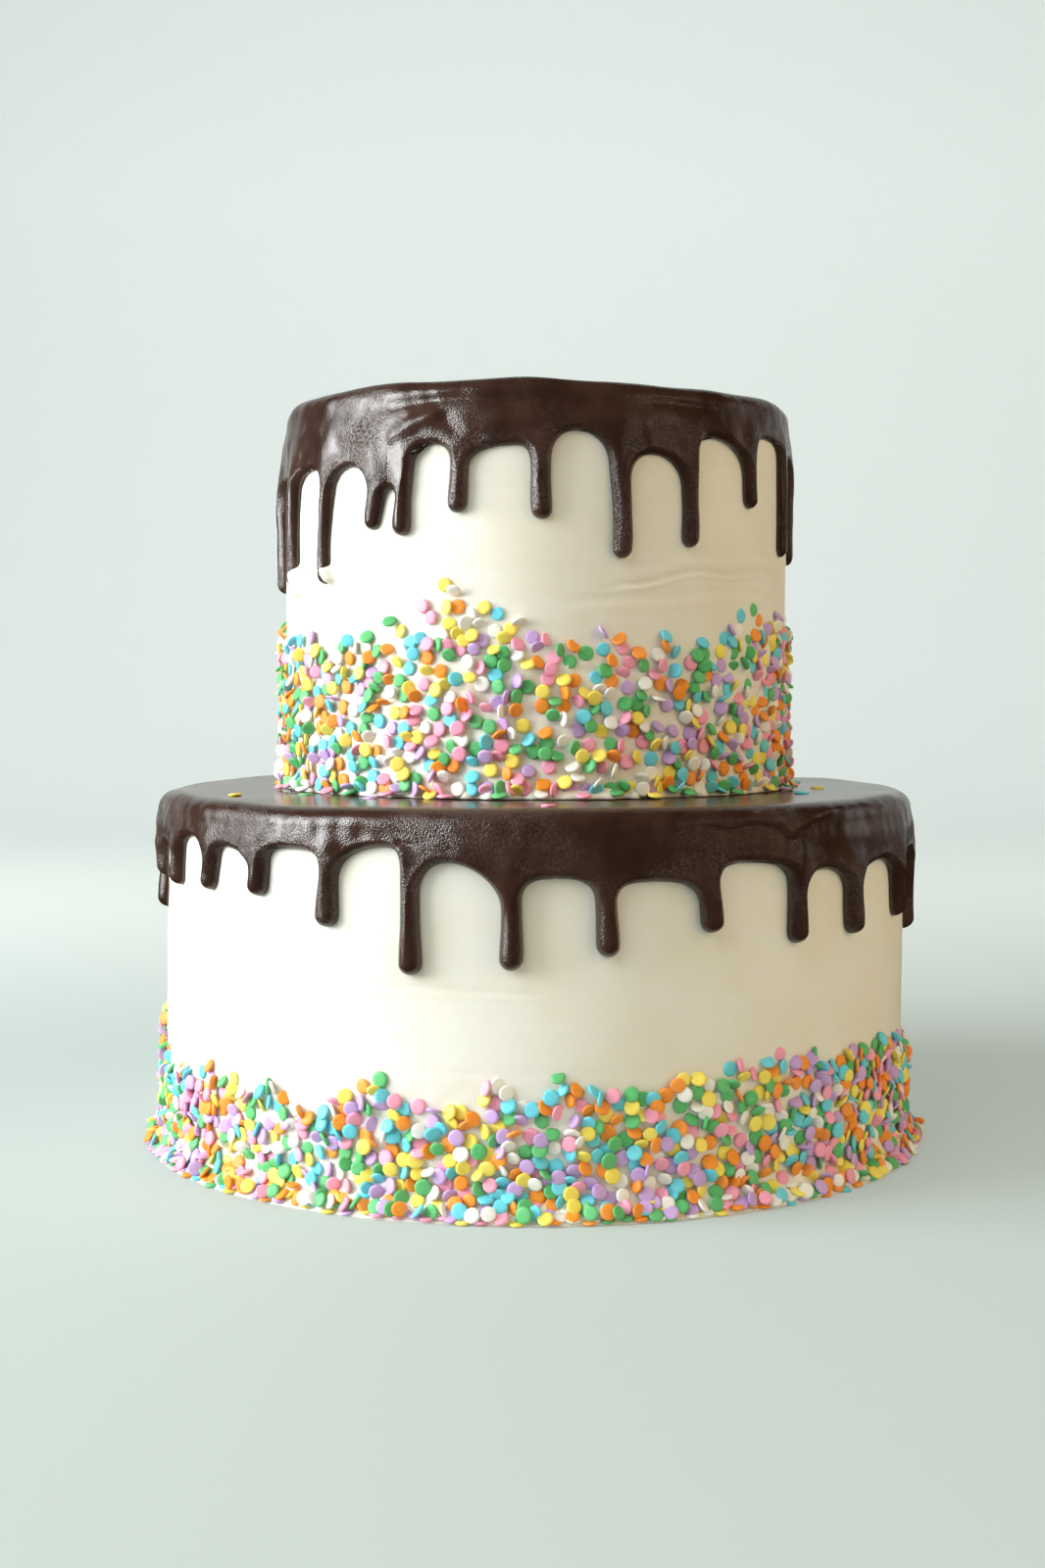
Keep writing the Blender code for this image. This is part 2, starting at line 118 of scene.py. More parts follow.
UPPER_ARCHES = (
    (-95, 21.0, 8.0, 2.0, 8.0, 2.0), (-77, 24.0, 6.0, 2.2, 6.0, 2.2), (-57.0, 23.6, 6.0, 2.2, 7.0, 2.2),
    (-42.2, 24.2, 7.0, 2.2, 10.0, 2.0), (-31.0, 31.8, 2.5, 2.0, 2.5, 2.0),
    (-21.4, 19.3, 7.0, 2.4, 6.0, 2.6), (-3.6, 20.2, 6.5, 2.4, 6.0, 2.6), (8.6, 15.9, 8.0, 2.3, 9.0, 2.1),
    (24.8, 22.2, 8.0, 2.3, 9.0, 2.1), (40.2, 16.0, 5.0, 2.6, 10.0, 2.0), (59.5, 13.6, 6.0, 2.5, 6.0, 2.5),
    (76.8, 17.0, 6.0, 2.2, 6.0, 2.2), (91, 18.0, 8.0, 2.0, 8.0, 2.0),
)
BACK_SPACING = 15.0
BACK_SHOULDER = (6.0, 9.0)
LOWER_BACK = {"tip": (28.0, 46.0), "arch": (12.0, 20.0), "seed": 7}
UPPER_BACK = {"tip": (36.0, 56.0), "arch": (14.0, 24.0), "seed": 11}


def whole_row(drips, arches, back):
    """The front drips and arches, then evenly spaced seeded ones round the back."""
    draw = random.Random(back["seed"])
    start = arches[-1][0]
    gap = arches[0][0] + 360.0 - start
    count = max(1, round(gap / BACK_SPACING))
    step = gap / count
    row_drips = list(drips)
    row_arches = list(arches)
    for number in range(count):
        centre = start + (number + 0.5 + draw.uniform(-0.12, 0.12)) * step
        row_drips.append((centre, draw.uniform(*back["tip"]), 0.0, 0.15))
        if number < count - 1:
            edge = start + (number + 1.0 + draw.uniform(-0.08, 0.08)) * step
            drop = draw.uniform(*back["arch"])
            heights = draw.uniform(*BACK_SHOULDER), draw.uniform(*BACK_SHOULDER)
            row_arches.append((edge, drop, heights[0], 2.3, heights[1], 2.3))
    row_arches.append((arches[0][0] + 360.0, *arches[0][1:]))
    return row_drips, row_arches


lower_row = whole_row(LOWER_DRIPS, LOWER_ARCHES, LOWER_BACK)
upper_row = whole_row(UPPER_DRIPS, UPPER_ARCHES, UPPER_BACK)
print("drips:", len(lower_row[0]), "below and", len(upper_row[0]), "above")

# %% Tops of the confetti bands, as (bearing, height in mm)
LOWER_BAND = (
    (-79, 37), (-66, 30), (-48, 32), (-36, 31), (-31, 28), (-22, 36), (-13, 31), (-6, 35),
    (7, 36), (20, 37), (34, 42), (48, 38), (57, 38), (79, 33),
)
UPPER_BAND = (
    (-80, 50), (-51, 45), (-41, 48), (-30, 48), (-24, 57), (-16, 61), (-5, 57), (1, 48),
    (20, 46), (37, 45), (53, 54), (80, 52),
)


def band_height(band, bearing):
    """Height of the band at these bearings, eased by a cosine from one measured place to the next."""
    knots = list(band) + [(180.0, sum(h for _, h in band) / len(band)), (band[0][0] + 360, band[0][1])]
    starts = np.array([b for b, _ in knots], float)
    heights = np.array([h for _, h in knots]) * MM
    turned = np.where(bearing < starts[0], bearing + 360.0, bearing)
    index = np.clip(np.searchsorted(starts, turned) - 1, 0, len(starts) - 2)
    share = (turned - starts[index]) / (starts[index + 1] - starts[index])
    return heights[index] + (heights[index + 1] - heights[index]) * (1.0 - np.cos(math.pi * share)) / 2.0


# %% [markdown]
# Points, grids and meshes
#
# Every surface here is a grid of points worked out as whole arrays. Helpers turn bearings into
# points and a grid into faces, and one puts them into a mesh in a single step, which is far quicker
# than adding vertices one by one.

# %% Helpers for surfaces


def around(bearing, reach, level):
    """Points: reach times the sine of the bearing along X, minus its cosine along Y, level along Z."""
    angle = np.radians(bearing)
    parts = np.broadcast_arrays(np.sin(angle) * reach, -np.cos(angle) * reach, level)
    return np.stack(parts, axis=-1)


def grid_faces(rows, columns, first=0, closed=False):
    """Faces of a grid numbered row by row: each joins two neighbours to the two in the row below."""
    row = np.arange(rows - 1)[:, None] * columns + first
    column = np.arange(columns if closed else columns - 1)[None, :]
    beside = (column + 1) % columns
    corners = (row + column, row + columns + column, row + columns + beside, row + beside)
    return np.stack(np.broadcast_arrays(*corners), axis=-1).reshape(-1, 4)


def fan_faces(centre, ring, inward=False):
    """Three-sided faces from one centre to each pair of neighbours on a closed ring."""
    after = np.roll(ring, -1)
    middle = np.full(len(ring), centre)
    order = (middle, after, ring) if inward else (middle, ring, after)
    return np.stack(order, axis=-1)


def mesh_from(name, points, *face_arrays):
    """Mesh from an array of points and arrays of faces, each array with one number of corners."""
    corners = np.concatenate([faces.ravel() for faces in face_arrays]).astype(np.int32)
    sizes = np.concatenate([np.full(len(faces), faces.shape[1]) for faces in face_arrays])
    mesh = bpy.data.meshes.new(name)
    mesh.vertices.add(len(points))
    mesh.vertices.foreach_set("co", np.ascontiguousarray(points, np.float32).ravel())
    mesh.loops.add(len(corners))
    mesh.loops.foreach_set("vertex_index", corners)
    mesh.polygons.add(len(sizes))
    mesh.polygons.foreach_set("loop_start", (np.cumsum(sizes) - sizes).astype(np.int32))
    mesh.update(calc_edges=True)
    mesh.validate()
    mesh.shade_smooth()
    return mesh


def weld(mesh, distance):
    """Merge points closer than this distance and count the edges that are left open."""
    build = bmesh.new()
    build.from_mesh(mesh)
    bmesh.ops.remove_doubles(build, verts=build.verts, dist=distance)
    open_edges = sum(1 for edge in build.edges if len(edge.link_faces) != 2)
    build.to_mesh(mesh)
    build.free()
    return open_edges


def add_piece(mesh, material, *nodes, slot):
    """A piece of the cake: it rides on the cake's one body and stands for these solids."""
    piece = bpy.data.objects.new(mesh.name, mesh)
    bpy.context.scene.collection.objects.link(piece)
    mesh.materials.append(material)
    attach(piece, "root")
    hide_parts(*nodes)
    mesh.calc_loop_triangles()
    print(f"{mesh.name}: {len(mesh.vertices)} points, {len(mesh.loop_triangles)} triangles")


# %% [markdown]
# Unevenness by hand
#
# A palette knife leaves a surface that is never quite true. Two functions give that: waves of
# about one length that run every way over the unrolled side, and ridges that follow a drawn path.
# The waves go round the cake a whole number of times, so that they meet themselves.

# %% Helpers for relief


def waves(bearing, level, radius, length, seed, count=14, level_stretch=1.0):
    """A sum of sines of like length, each with its own direction and phase, mostly within 1.5 of 0."""
    draw = np.random.default_rng(seed)
    angle = np.radians(bearing)
    total = 0.0
    for _ in range(count):
        heading = draw.uniform(0.0, 2.0 * math.pi)
        size = length * draw.uniform(0.7, 1.4)
        turns = round(2.0 * math.pi * radius * math.cos(heading) / size)
        upward = 2.0 * math.pi * math.sin(heading) / (size * level_stretch)
        total = total + np.sin(turns * angle + upward * level + draw.uniform(0.0, 2.0 * math.pi))
    return total / math.sqrt(count)


def along_path(bearing, drop, radius, path, width):
    """A ridge along a path of (bearing, drop in mm): exp of minus the squared distance over width."""
    across = np.radians(bearing) * radius
    nearest = np.full(np.broadcast(across, drop).shape, np.inf)
    knots = [(math.radians(b) * radius, d * MM) for b, d in path]
    for (x0, y0), (x1, y1) in zip(knots, knots[1:]):
        run_x, run_y = x1 - x0, y1 - y0
        share = ((across - x0) * run_x + (drop - y0) * run_y) / (run_x**2 + run_y**2)
        share = np.clip(share, 0.0, 1.0)
        gap = (across - x0 - share * run_x) ** 2 + (drop - y0 - share * run_y) ** 2
        nearest = np.minimum(nearest, gap)
    return np.exp(-nearest / width**2)


def marks(bearing, drop, radius, table):
    """Ridges, or grooves where the height is below 0, each as (height, width, path), all in mm."""
    return sum(h * MM * along_path(bearing, drop, radius, path, w * MM) for h, w, path in table)


def ease(value, low, high):
    """Smooth step from 0 at low to 1 at high."""
    share = np.clip((value - low) / (high - low), 0.0, 1.0)
    return share * share * (3.0 - 2.0 * share)


# %% [markdown]
# How the tiers are out of true
#
# The upper tier leans in on its left, most at the rim, and the ganache on it is not level: its rim
# sags a little to the right of the middle. The lower tier has slighter faults of the same kinds.
# Cream and ganache share the lean of their tier, and the ganache alone adds the rise of its top.

# %% Lean and rim levels
UPPER_RIM_LEVELS = (
    (-180, 0.3), (-90, 0.8), (-75, 0.4), (-55, -0.2), (-32, 0.2), (-16, -0.35), (-2, 0.1), (14, -0.9),
    (30, -1.25), (45, -1.0), (62, -0.3), (76, -0.5), (90, 0.0), (180, 0.3),
)


def eased_table(table, bearing):
    """Values at these bearings, eased by a cosine from one knot of the table to the next, in mm."""
    knots, values = np.array(table, float).T
    index = np.clip(np.searchsorted(knots, bearing) - 1, 0, len(knots) - 2)
    share = np.clip((bearing - knots[index]) / (knots[index + 1] - knots[index]), 0.0, 1.0)
    eased = (1.0 - np.cos(math.pi * share)) / 2.0
    return (values[index] + (values[index + 1] - values[index]) * eased) * MM


def half_turned(bearing):
    """The same bearing between -180 and 180."""
    return (bearing + 180.0) % 360.0 - 180.0


def upper_lean(bearing, drop):
    """Outward shift: inward on the left, 1.0 mm low down and 2.5 mm at the rim, outward on the right."""
    side = np.sin(np.radians(bearing))
    at_rim = 1.0 - ease(drop, 10 * MM, 36 * MM)
    return (0.3 * np.clip(side, 0.0, 1.0) - (1.0 + 1.5 * at_rim) * np.clip(-side, 0.0, 1.0) ** 1.5) * MM


def upper_rise(bearing, reach):
    """Height that the top gains: the rim's levels, faded to nothing at the axis, plus slow swells."""
    rim = eased_table(UPPER_RIM_LEVELS, half_turned(bearing))
    share = np.clip(reach / UPPER["radius"], 0.0, 1.0)
    return share**2 * (rim + 0.12 * MM * waves(bearing, reach, UPPER["radius"], 25 * MM, 41))


def lower_lean(bearing, drop):
    """Outward shift: inward by 0.9 mm high up on the left, and 0.5 mm at the rim on both sides."""
    at_rim = 1.0 - ease(drop, 3 * MM, 12 * MM)
    low = 1.0 - ease(drop, 26 * MM, 45 * MM)
    side = np.sin(np.radians(bearing))
    return -(low * 0.9 * np.clip(-side, 0.0, 1.0) ** 2 + 0.5 * at_rim * side**2) * MM


def lower_rise(bearing, reach):
    """Height that the ledge gains: slow swells that are nothing under the upper tier."""
    share = ease(reach, 0.75 * UPPER["radius"], LOWER["radius"])
    return 0.35 * MM * share * waves(bearing, reach, LOWER["radius"], 60 * MM, 42)


LOWER.update(lean=lower_lean, rise=lower_rise)
UPPER.update(lean=upper_lean, rise=upper_rise)

# %% [markdown]
# Materials
#
# Three finishes make the cake: satin buttercream, set ganache with fine pebbles and a faint greyish
# bloom, and pressed sugar. All three share fine grain and slow blotches, so those two are node
# groups, built once and given other values in each material. The patterns read Object coordinates,
# which are metres here, so a noise scale of 1000 makes grains of about a millimetre.

# %% Shared node groups


def set_inputs(tree, node, inputs):
    """Give each input its plain value, or link it from the output that feeds it."""
    for name, value in inputs.items():
        if isinstance(value, bpy.types.NodeSocket):
            tree.links.new(value, node.inputs[name])
        else:
            node.inputs[name].default_value = value


def add_node(tree, kind, inputs=None, **settings):
    """A node of this kind with its settings and inputs."""
    node = tree.nodes.new(kind)
    for name, value in settings.items():
        setattr(node, name, value)
    set_inputs(tree, node, inputs or {})
    return node


def calculate(tree, operation, *values):
    """Output of a Math node on these values or outputs."""
    return add_node(tree, "ShaderNodeMath", dict(enumerate(values)), operation=operation).outputs[0]


def stretch(tree, value, low, high, to_low=0.0, to_high=1.0, interpolation="LINEAR"):
    """Output of a Map Range node, which carries low and high to two other values."""
    inputs = {"Value": value, "From Min": low, "From Max": high, "To Min": to_low, "To Max": to_high}
    node = add_node(tree, "ShaderNodeMapRange", inputs, interpolation_type=interpolation)
    return node.outputs["Result"]


def new_group(name, inputs, output):
    """A shader node group with a vector, these float inputs and one float output to be fed."""
    group = bpy.data.node_groups.new(name, "ShaderNodeTree")
    group.interface.new_socket("Vector", in_out="INPUT", socket_type="NodeSocketVector")
    for title, value in inputs.items():
        socket = group.interface.new_socket(title, in_out="INPUT", socket_type="NodeSocketFloat")
        socket.default_value = value
    group.interface.new_socket(output, in_out="OUTPUT", socket_type="NodeSocketFloat")
    return group, group.nodes.new("NodeGroupInput").outputs


def noise(tree, vector, scale, detail, roughness):
    """Output of a Noise Texture node."""
    inputs = {"Vector": vector, "Scale": scale, "Detail": detail, "Roughness": roughness}
    return add_node(tree, "ShaderNodeTexNoise", inputs).outputs[0]


def fine_grain_group():
    """Two sizes of noise added together: a grain and, half as strong, one that is finer."""
    group, given = new_group("fine_grain", {"Scale": 800.0, "Finer": 3.0}, "Height")
    coarse = noise(group, given["Vector"], given["Scale"], 2.0, 0.6)
    finer = calculate(group, "MULTIPLY", given["Scale"], given["Finer"])
    fine = noise(group, given["Vector"], finer, 1.0, 0.5)
    add_node(group, "NodeGroupOutput", {"Height": calculate(group, "MULTIPLY_ADD", fine, 0.5, coarse)})
    return group


def blotch_group():
    """Slow noise stretched so that it runs from 0 to 1 between two of its own values."""
    group, given = new_group("soft_blotches", {"Scale": 60.0, "Low": 0.4, "High": 0.6}, "Mask")
    slow = noise(group, given["Vector"], given["Scale"], 3.0, 0.55)
    mask = stretch(group, slow, given["Low"], given["High"], interpolation="SMOOTHSTEP")
    add_node(group, "NodeGroupOutput", {"Mask": mask})
    return group


GRAIN = fine_grain_group()
BLOTCHES = blotch_group()


def use_group(tree, group, vector, **values):
    """Output of a shared group in a material, with this material's own values."""
    return add_node(tree, "ShaderNodeGroup", {"Vector": vector, **values}, node_tree=group).outputs[0]


def mix_colours(tree, mask, low, high):
    """Colour that goes from low to high as the mask goes from 0 to 1. Each is a colour or an output."""
    low, high = ((*end, 1.0) if isinstance(end, tuple) else end for end in (low, high))
    mix = add_node(tree, "ShaderNodeMix", {"Factor": mask, 6: low, 7: high}, data_type="RGBA")
    return mix.outputs[2]


def bump(tree, height, strength, distance):
    """Normal from this height, which stands for the distance in metres."""
    inputs = {"Height": height, "Strength": strength, "Distance": distance}
    return add_node(tree, "ShaderNodeBump", inputs).outputs["Normal"]


def new_material(name):
    """A material with its tree, its Principled BSDF and the Object coordinates to build on."""
    material = bpy.data.materials.new(name)
    material.use_nodes = True
    tree = material.node_tree
    place = add_node(tree, "ShaderNodeTexCoord").outputs["Object"]
    return material, tree, tree.nodes["Principled BSDF"], place


# %% Buttercream finish
BUTTERCREAM = (0.84, 0.81, 0.74)
BUTTERCREAM_WARM = (0.82, 0.775, 0.67)


def buttercream_material():
    """Warm white, a little deeper in slow patches, satin, with a faint grain of air bubbles."""
    material, tree, shader, place = new_material("vanilla_buttercream")
    patches = use_group(tree, BLOTCHES, place, Scale=45.0, Low=0.38, High=0.66)
    grain = use_group(tree, GRAIN, place, Scale=420.0, Finer=3.0)
    set_inputs(tree, shader, {
        "Base Color": mix_colours(tree, patches, BUTTERCREAM, BUTTERCREAM_WARM),
        "Roughness": 0.5,
        "Subsurface Weight": 0.12,
        "Subsurface Scale": 0.004,
        "Subsurface Radius": (1.0, 0.7, 0.4),
        "Normal": bump(tree, grain, 0.25, 0.0002),
    })
    return material


buttercream = buttercream_material()

# %% Ganache finish
GANACHE_DARK = (0.034, 0.0155, 0.0105)
GANACHE_LIGHT = (0.053, 0.0265, 0.0185)
# Colour of the level top: bloom, made lighter still as a painted reflection of the tier above
GANACHE_TOP_BLOOM_AND_REFLECTION = (0.082, 0.046, 0.029)
GANACHE_BLOOM = (0.085, 0.055, 0.050)
PEBBLE_SCALE = 2000.0
PEBBLE_HEIGHT = 0.2 * MM


def ganache_material():
    """Dark reddish brown and glossy, with a relief of pebbles about half a millimetre across.

    In soft patches the pebbles stand higher, the gloss is duller and pale specks of bloom show.
    Where the ganache lies level it is lighter, partly with bloom and partly as a painted
    reflection of the tier above, and has only a trace of the pebbles.
    """
    material, tree, shader, place = new_material("chocolate_ganache")
    facing = add_node(tree, "ShaderNodeNewGeometry")
    split = add_node(tree, "ShaderNodeSeparateXYZ", {0: facing.outputs["Normal"]})
    level = stretch(tree, split.outputs["Z"], 0.90, 0.99)
    slow = use_group(tree, BLOTCHES, place, Scale=70.0, Low=0.35, High=0.7)
    bloom = use_group(tree, BLOTCHES, place, Scale=34.0, Low=0.44, High=0.62)
    grain = use_group(tree, GRAIN, place, Scale=1100.0, Finer=2.2)
    specks = calculate(tree, "MULTIPLY", stretch(tree, grain, 0.70, 1.0), bloom)
    brown = mix_colours(tree, slow, GANACHE_DARK, GANACHE_LIGHT)
    bloomed = mix_colours(tree, specks, brown, GANACHE_BLOOM)
    gloss = stretch(tree, bloom, 0.0, 1.0, 0.19, 0.25)
    finish = add_node(tree, "ShaderNodeMix", {"Factor": level, 2: gloss, 3: 0.24})
    rough = stretch(tree, bloom, 0.0, 1.0, 0.35, 1.0)
    calm = stretch(tree, level, 0.0, 1.0, 1.0, 0.15)
    cells = add_node(tree, "ShaderNodeTexVoronoi", {"Vector": place, "Scale": PEBBLE_SCALE})
    pebbles = calculate(tree, "SUBTRACT", 1.0, cells.outputs["Distance"])
    relief = calculate(tree, "MULTIPLY", calculate(tree, "MULTIPLY", rough, calm), pebbles)
    set_inputs(tree, shader, {
        # Painted reflection: level faces take the lighter top colour, partly bloom and partly the tier's
        # reflection
        "Base Color": mix_colours(tree, level, bloomed, GANACHE_TOP_BLOOM_AND_REFLECTION),
        "Roughness": finish.outputs[0],
        "Specular IOR Level": 0.65,
        "Normal": bump(tree, relief, 1.0, PEBBLE_HEIGHT),
    })
    return material


ganache = ganache_material()

# %% Confetti finish
POWDER = 0.9
CONFETTI_COLOURS = {
    "green": (0.11, 0.52, 0.17),
    "orange": (1.0, 0.32, 0.02),
    "yellow": (1.0, 0.81, 0.12),
    "pink": (1.0, 0.38, 0.54),
    "lavender": (0.62, 0.40, 0.78),
    "blue": (0.15, 0.69, 0.84),
    "white": (0.95, 0.93, 0.88),
}


def confetti_material(name, colour):
    """Pressed sugar: one colour, lighter or deeper from disc to disc, matt with a powdery grain."""
    material, tree, shader, place = new_material(f"confetti_{name}")
    deep = tuple(0.9 * c for c in colour)
    pale = tuple(0.95 * c + 0.05 * POWDER for c in colour)
    dusty = tuple(0.94 * c + 0.06 * POWDER for c in colour)
    shade = add_node(tree, "ShaderNodeAttribute", attribute_name="shade")
    base = mix_colours(tree, shade.outputs["Fac"], deep, pale)
    mottle = use_group(tree, BLOTCHES, place, Scale=700.0, Low=0.45, High=0.75)
    grain = use_group(tree, GRAIN, place, Scale=1800.0, Finer=2.0)
    set_inputs(tree, shader, {
        "Base Color": mix_colours(tree, mottle, base, dusty),
        "Roughness": 0.48,
        "Specular IOR Level": 0.35,
        "Normal": bump(tree, grain, 0.3, 0.08 * MM),
    })
    return material


confetti_finish = {name: confetti_material(name, colour) for name, colour in CONFETTI_COLOURS.items()}
print("materials:", [material.name for material in bpy.data.materials])

# %% [markdown]
# Buttercream tiers
#
# Each tier was coated with a palette knife and smoothed with a scraper while it turned, so it is
# almost a true drum, with slow swells, level scraper lines and here and there a crease. A turned
# profile alone would be too perfect. So each tier is a grid of bearings and places down the
# profile, where the radius is the profile's plus that relief.

# %% Tier surfaces
TIER_COLUMNS = 480
SIDE_ROWS = 185
UPPER_CREASE = ((14.0, 61.5), (19.3, 60.4), (37.3, 56.0), (44.6, 56.5), (58.1, 54.7), (74.0, 56.3))
UPPER_CREASE_TWO = ((2.0, 66.0), (24.0, 64.5), (45.0, 61.5), (66.0, 62.5))
LOWER_CREASE = ((-44.0, 52.0), (-20.0, 49.5), (4.0, 51.0))
SMEARS = ((4.2, 1.9, ((-65.4, 55.0), (-64.2, 61.0))), (3.9, 1.3, ((-50.0, 55.0), (-48.8, 57.8))))


def scraper_lines(bearing, level, radius, seed):
    """Level lines of a scraper: short waves up the side that change only slowly round the cake."""
    draw = np.random.default_rng(seed)
    total = 0.0
    for _ in range(16):
        upward = 2.0 * math.pi / draw.uniform(2.0 * MM, 9.0 * MM)
        turns = draw.integers(-3, 4)
        total = total + np.sin(upward * level + turns * np.radians(bearing) + draw.uniform(0.0, 6.28))
    return total / 4.0


def crease_step(bearing, drop, path, width):
    """A crease along a path: minus a ridge's shape, with the cream just below it pushed outwards."""
    turned = half_turned(bearing)
    first, last = path[0][0], path[-1][0]
    below = drop - eased_table(path, turned)
    fade = ease(turned, first, first + 9.0) * (1.0 - ease(turned, last - 8.0, last))
    return fade * (0.55 * np.exp(-((below / width - 1.5) ** 2)) - np.exp(-((below / width) ** 2)))


def tier_mesh(name, size, relief):
    """Rings from the top's centre, over the rounded edge, down the side and in under the base."""
    radius, base, foot = size["radius"], size["base"], size["foot"]
    top = base + size["height"]
    bearing = np.arange(TIER_COLUMNS)[None, :] * 360.0 / TIER_COLUMNS
    turn = np.radians(np.linspace(90.0, 0.0, 5))
    lid = np.array([0.3, 0.7]) * radius
    side_level = np.linspace(top - TIER_EDGE, base, SIDE_ROWS + 1)[1:]
    slope = np.clip(1.0 - (side_level - base) / FOOT_HEIGHT, 0.0, 1.0)
    side_reach = radius + foot * slope**1.7
    floor = np.array([0.7, 0.3]) * radius
    reach = np.concatenate([lid, radius - TIER_EDGE + TIER_EDGE * np.cos(turn), side_reach, floor])
    level = np.concatenate([
        np.full(2, top), top - TIER_EDGE + TIER_EDGE * np.sin(turn), side_level, np.full(2, base),
    ])
    reach = np.broadcast_to(reach[:, None], (len(reach), TIER_COLUMNS)).copy()
    level = np.broadcast_to(level[:, None], reach.shape)
    reach += size["lean"](bearing, top - level) * reach / radius
    on_side = slice(len(lid) + len(turn), len(reach) - len(floor))
    reach[on_side] += relief(bearing, level[on_side])
    points = around(bearing, reach, level).reshape(-1, 3)
    last = len(points)
    points = np.concatenate([points, [(0.0, 0.0, top), (0.0, 0.0, base)]])
    ring = np.arange(TIER_COLUMNS)
    faces = grid_faces(len(reach), TIER_COLUMNS, closed=True)
    lid_fan = fan_faces(last, ring)
    base_fan = fan_faces(last + 1, last - TIER_COLUMNS + ring, inward=True)
    return mesh_from(name, points, faces, lid_fan, base_fan)


def band_roughness(bearing, level, size, band, seed):
    """Where confetti was pressed in, the cream is dabbed: short waves that stop at the band's top."""
    rise = level - size["base"]
    inside = 1.0 - ease(rise / band_height(band, bearing), 0.75, 1.1)
    return 0.22 * MM * inside * waves(bearing, level, size["radius"], 6 * MM, seed)


def lower_relief(bearing, level):
    """Swells, scraper lines, one faint crease and the dabbed band, faded out at the base."""
    radius = LOWER["radius"]
    drop = LEDGE - level
    swell = 0.30 * MM * waves(bearing, level, radius, 70 * MM, 21)
    lines = 0.018 * MM * scraper_lines(bearing, level, radius, 22)
    crease = 0.15 * MM * crease_step(bearing, drop, LOWER_CREASE, 0.9 * MM)
    rough = band_roughness(bearing, level, LOWER, LOWER_BAND, 23)
    return (swell + lines + crease) * ease(level, 0.0, 12 * MM) + rough * ease(level, 0.0, 3 * MM)


def upper_relief(bearing, level):
    """Swells, lines and creases, a ragged lip at the foot and two smears of cream over drips."""
    radius = UPPER["radius"]
    drop = CAKE_TOP - level
    rise = level - UPPER["base"]
    swell = 0.25 * MM * waves(bearing, level, radius, 60 * MM, 31)
    lines = 0.028 * MM * scraper_lines(bearing, level, radius, 32)
    crease = 0.75 * MM * crease_step(bearing, drop, UPPER_CREASE, 0.75 * MM)
    second = 0.16 * MM * crease_step(bearing, drop, UPPER_CREASE_TWO, 1.5 * MM)
    third = 0.12 * MM * crease_step(bearing, drop + 5.0 * MM, UPPER_CREASE, 1.3 * MM)
    ragged = np.clip(waves(bearing, level * 0.0, radius, 7 * MM, 33), -0.5, 1.5)
    lip = (0.7 * MM + 1.1 * MM * ragged) * (1.0 - ease(rise, 0.6 * MM, (2.8 + ragged) * MM))
    smear = marks(half_turned(bearing), drop, radius, SMEARS)
    rough = band_roughness(bearing, level, UPPER, UPPER_BAND, 34)
    return swell + lines + crease + second + third + lip + smear + rough


lower_cream = tier_mesh("lower_buttercream", LOWER, lower_relief)
upper_cream = tier_mesh("upper_buttercream", UPPER, upper_relief)
add_piece(lower_cream, buttercream, "lower_tier", slot="buttercream")
add_piece(upper_cream, buttercream, "upper_tier", slot="buttercream")

# %% [markdown]
# Poured ganache
#
# The pour is one sheet: flat on top, rounded over the rim, and a skirt that ends in drips. Each
# drip owns the strip between the two arches beside it, and each strip is a grid whose lowest part
# narrows with the drip. The sheet's thickness is full in the middle and falls in a quarter circle
# to nothing at its outline, as a thick liquid does where it stops. An inner sheet lies on the
# buttercream and meets the outer one along that outline, so the pour is closed.

# %% Outline of one drip


def half_width(depth, tip, arch, shoulder, half_gap, coat):
    """Half-width of a drip's side at a drop: a shoulder (quarter superellipse), a neck, a round bulb.

    The shoulder is (height, squareness). At a share s of its height, and with squareness q, its width
    beyond the neck has fallen by the q-th root of 1 - (1 - s)**q. The neck swells into the bulb, and
    is wider at the arch by the drip's own spread.
    """
    over_tip = tip - depth
    neck, bulb = coat["neck"], coat["bulb"]
    waist = neck + (bulb - neck) * np.exp(-(((over_tip - bulb) / (2.2 * bulb)) ** 2))
    waist = waist * (1.0 + coat["spread"] * np.clip((over_tip - bulb) / (tip - bulb - arch), 0.0, 1.0))
    share = np.clip((depth - arch) / shoulder[0], 0.0, 1.0)
    flat = 1.0 - (1.0 - share) ** shoulder[1]
    skirt = waist + (half_gap - waist) * (1.0 - flat ** (1.0 / shoulder[1]))
    round_end = bulb * np.sqrt(np.clip(1.0 - ((bulb - over_tip) / bulb) ** 2, 0.0, 1.0))
    return np.where(over_tip <= bulb, round_end, skirt)


def drip_depths(tip, arch, shoulder, coat):
    """Drops of a drip's rows, close together at the arch's top and round the bulb."""
    bulb = coat["bulb"]
    share = np.linspace(0.0, 1.0, 15) ** 2.2
    round_arch = arch + shoulder[0] * share
    down = np.linspace(arch + shoulder[0], tip - bulb, 9)[1:-1]
    round_tip = tip - bulb + bulb * np.sin(np.radians(np.linspace(0.0, 90.0, 12)))
    return np.concatenate([round_arch, down, round_tip])


# %% Pour surface
PLATE_ROWS = 12
RIM_ROWS = 10
SKIRT_ROWS = 22
EVEN = np.linspace(-1.0, 1.0, 33)
ACROSS = 0.45 * EVEN + 0.55 * np.sin(EVEN * math.pi / 2.0)
ACROSS_INNER = ACROSS[::4]
EDGE_ROUND = 2.4 * MM
DRIP_ROUND = 3.4 * MM
FLOW_WIDTH = 4.2 * MM
FLOW_HEIGHT = 0.1 * MM
VALLEY_DEPTH = 0.55 * MM
LIP_HEIGHT = 0.2 * MM


def strip_sides(drip, left, right):
    """For a drip's left and right side: the arch's drop and the (height, squareness) of its shoulder."""
    return (
        (left[1] * MM, (left[4] * MM, left[5])),
        (right[1] * MM, (right[2] * MM, right[3])),
    )


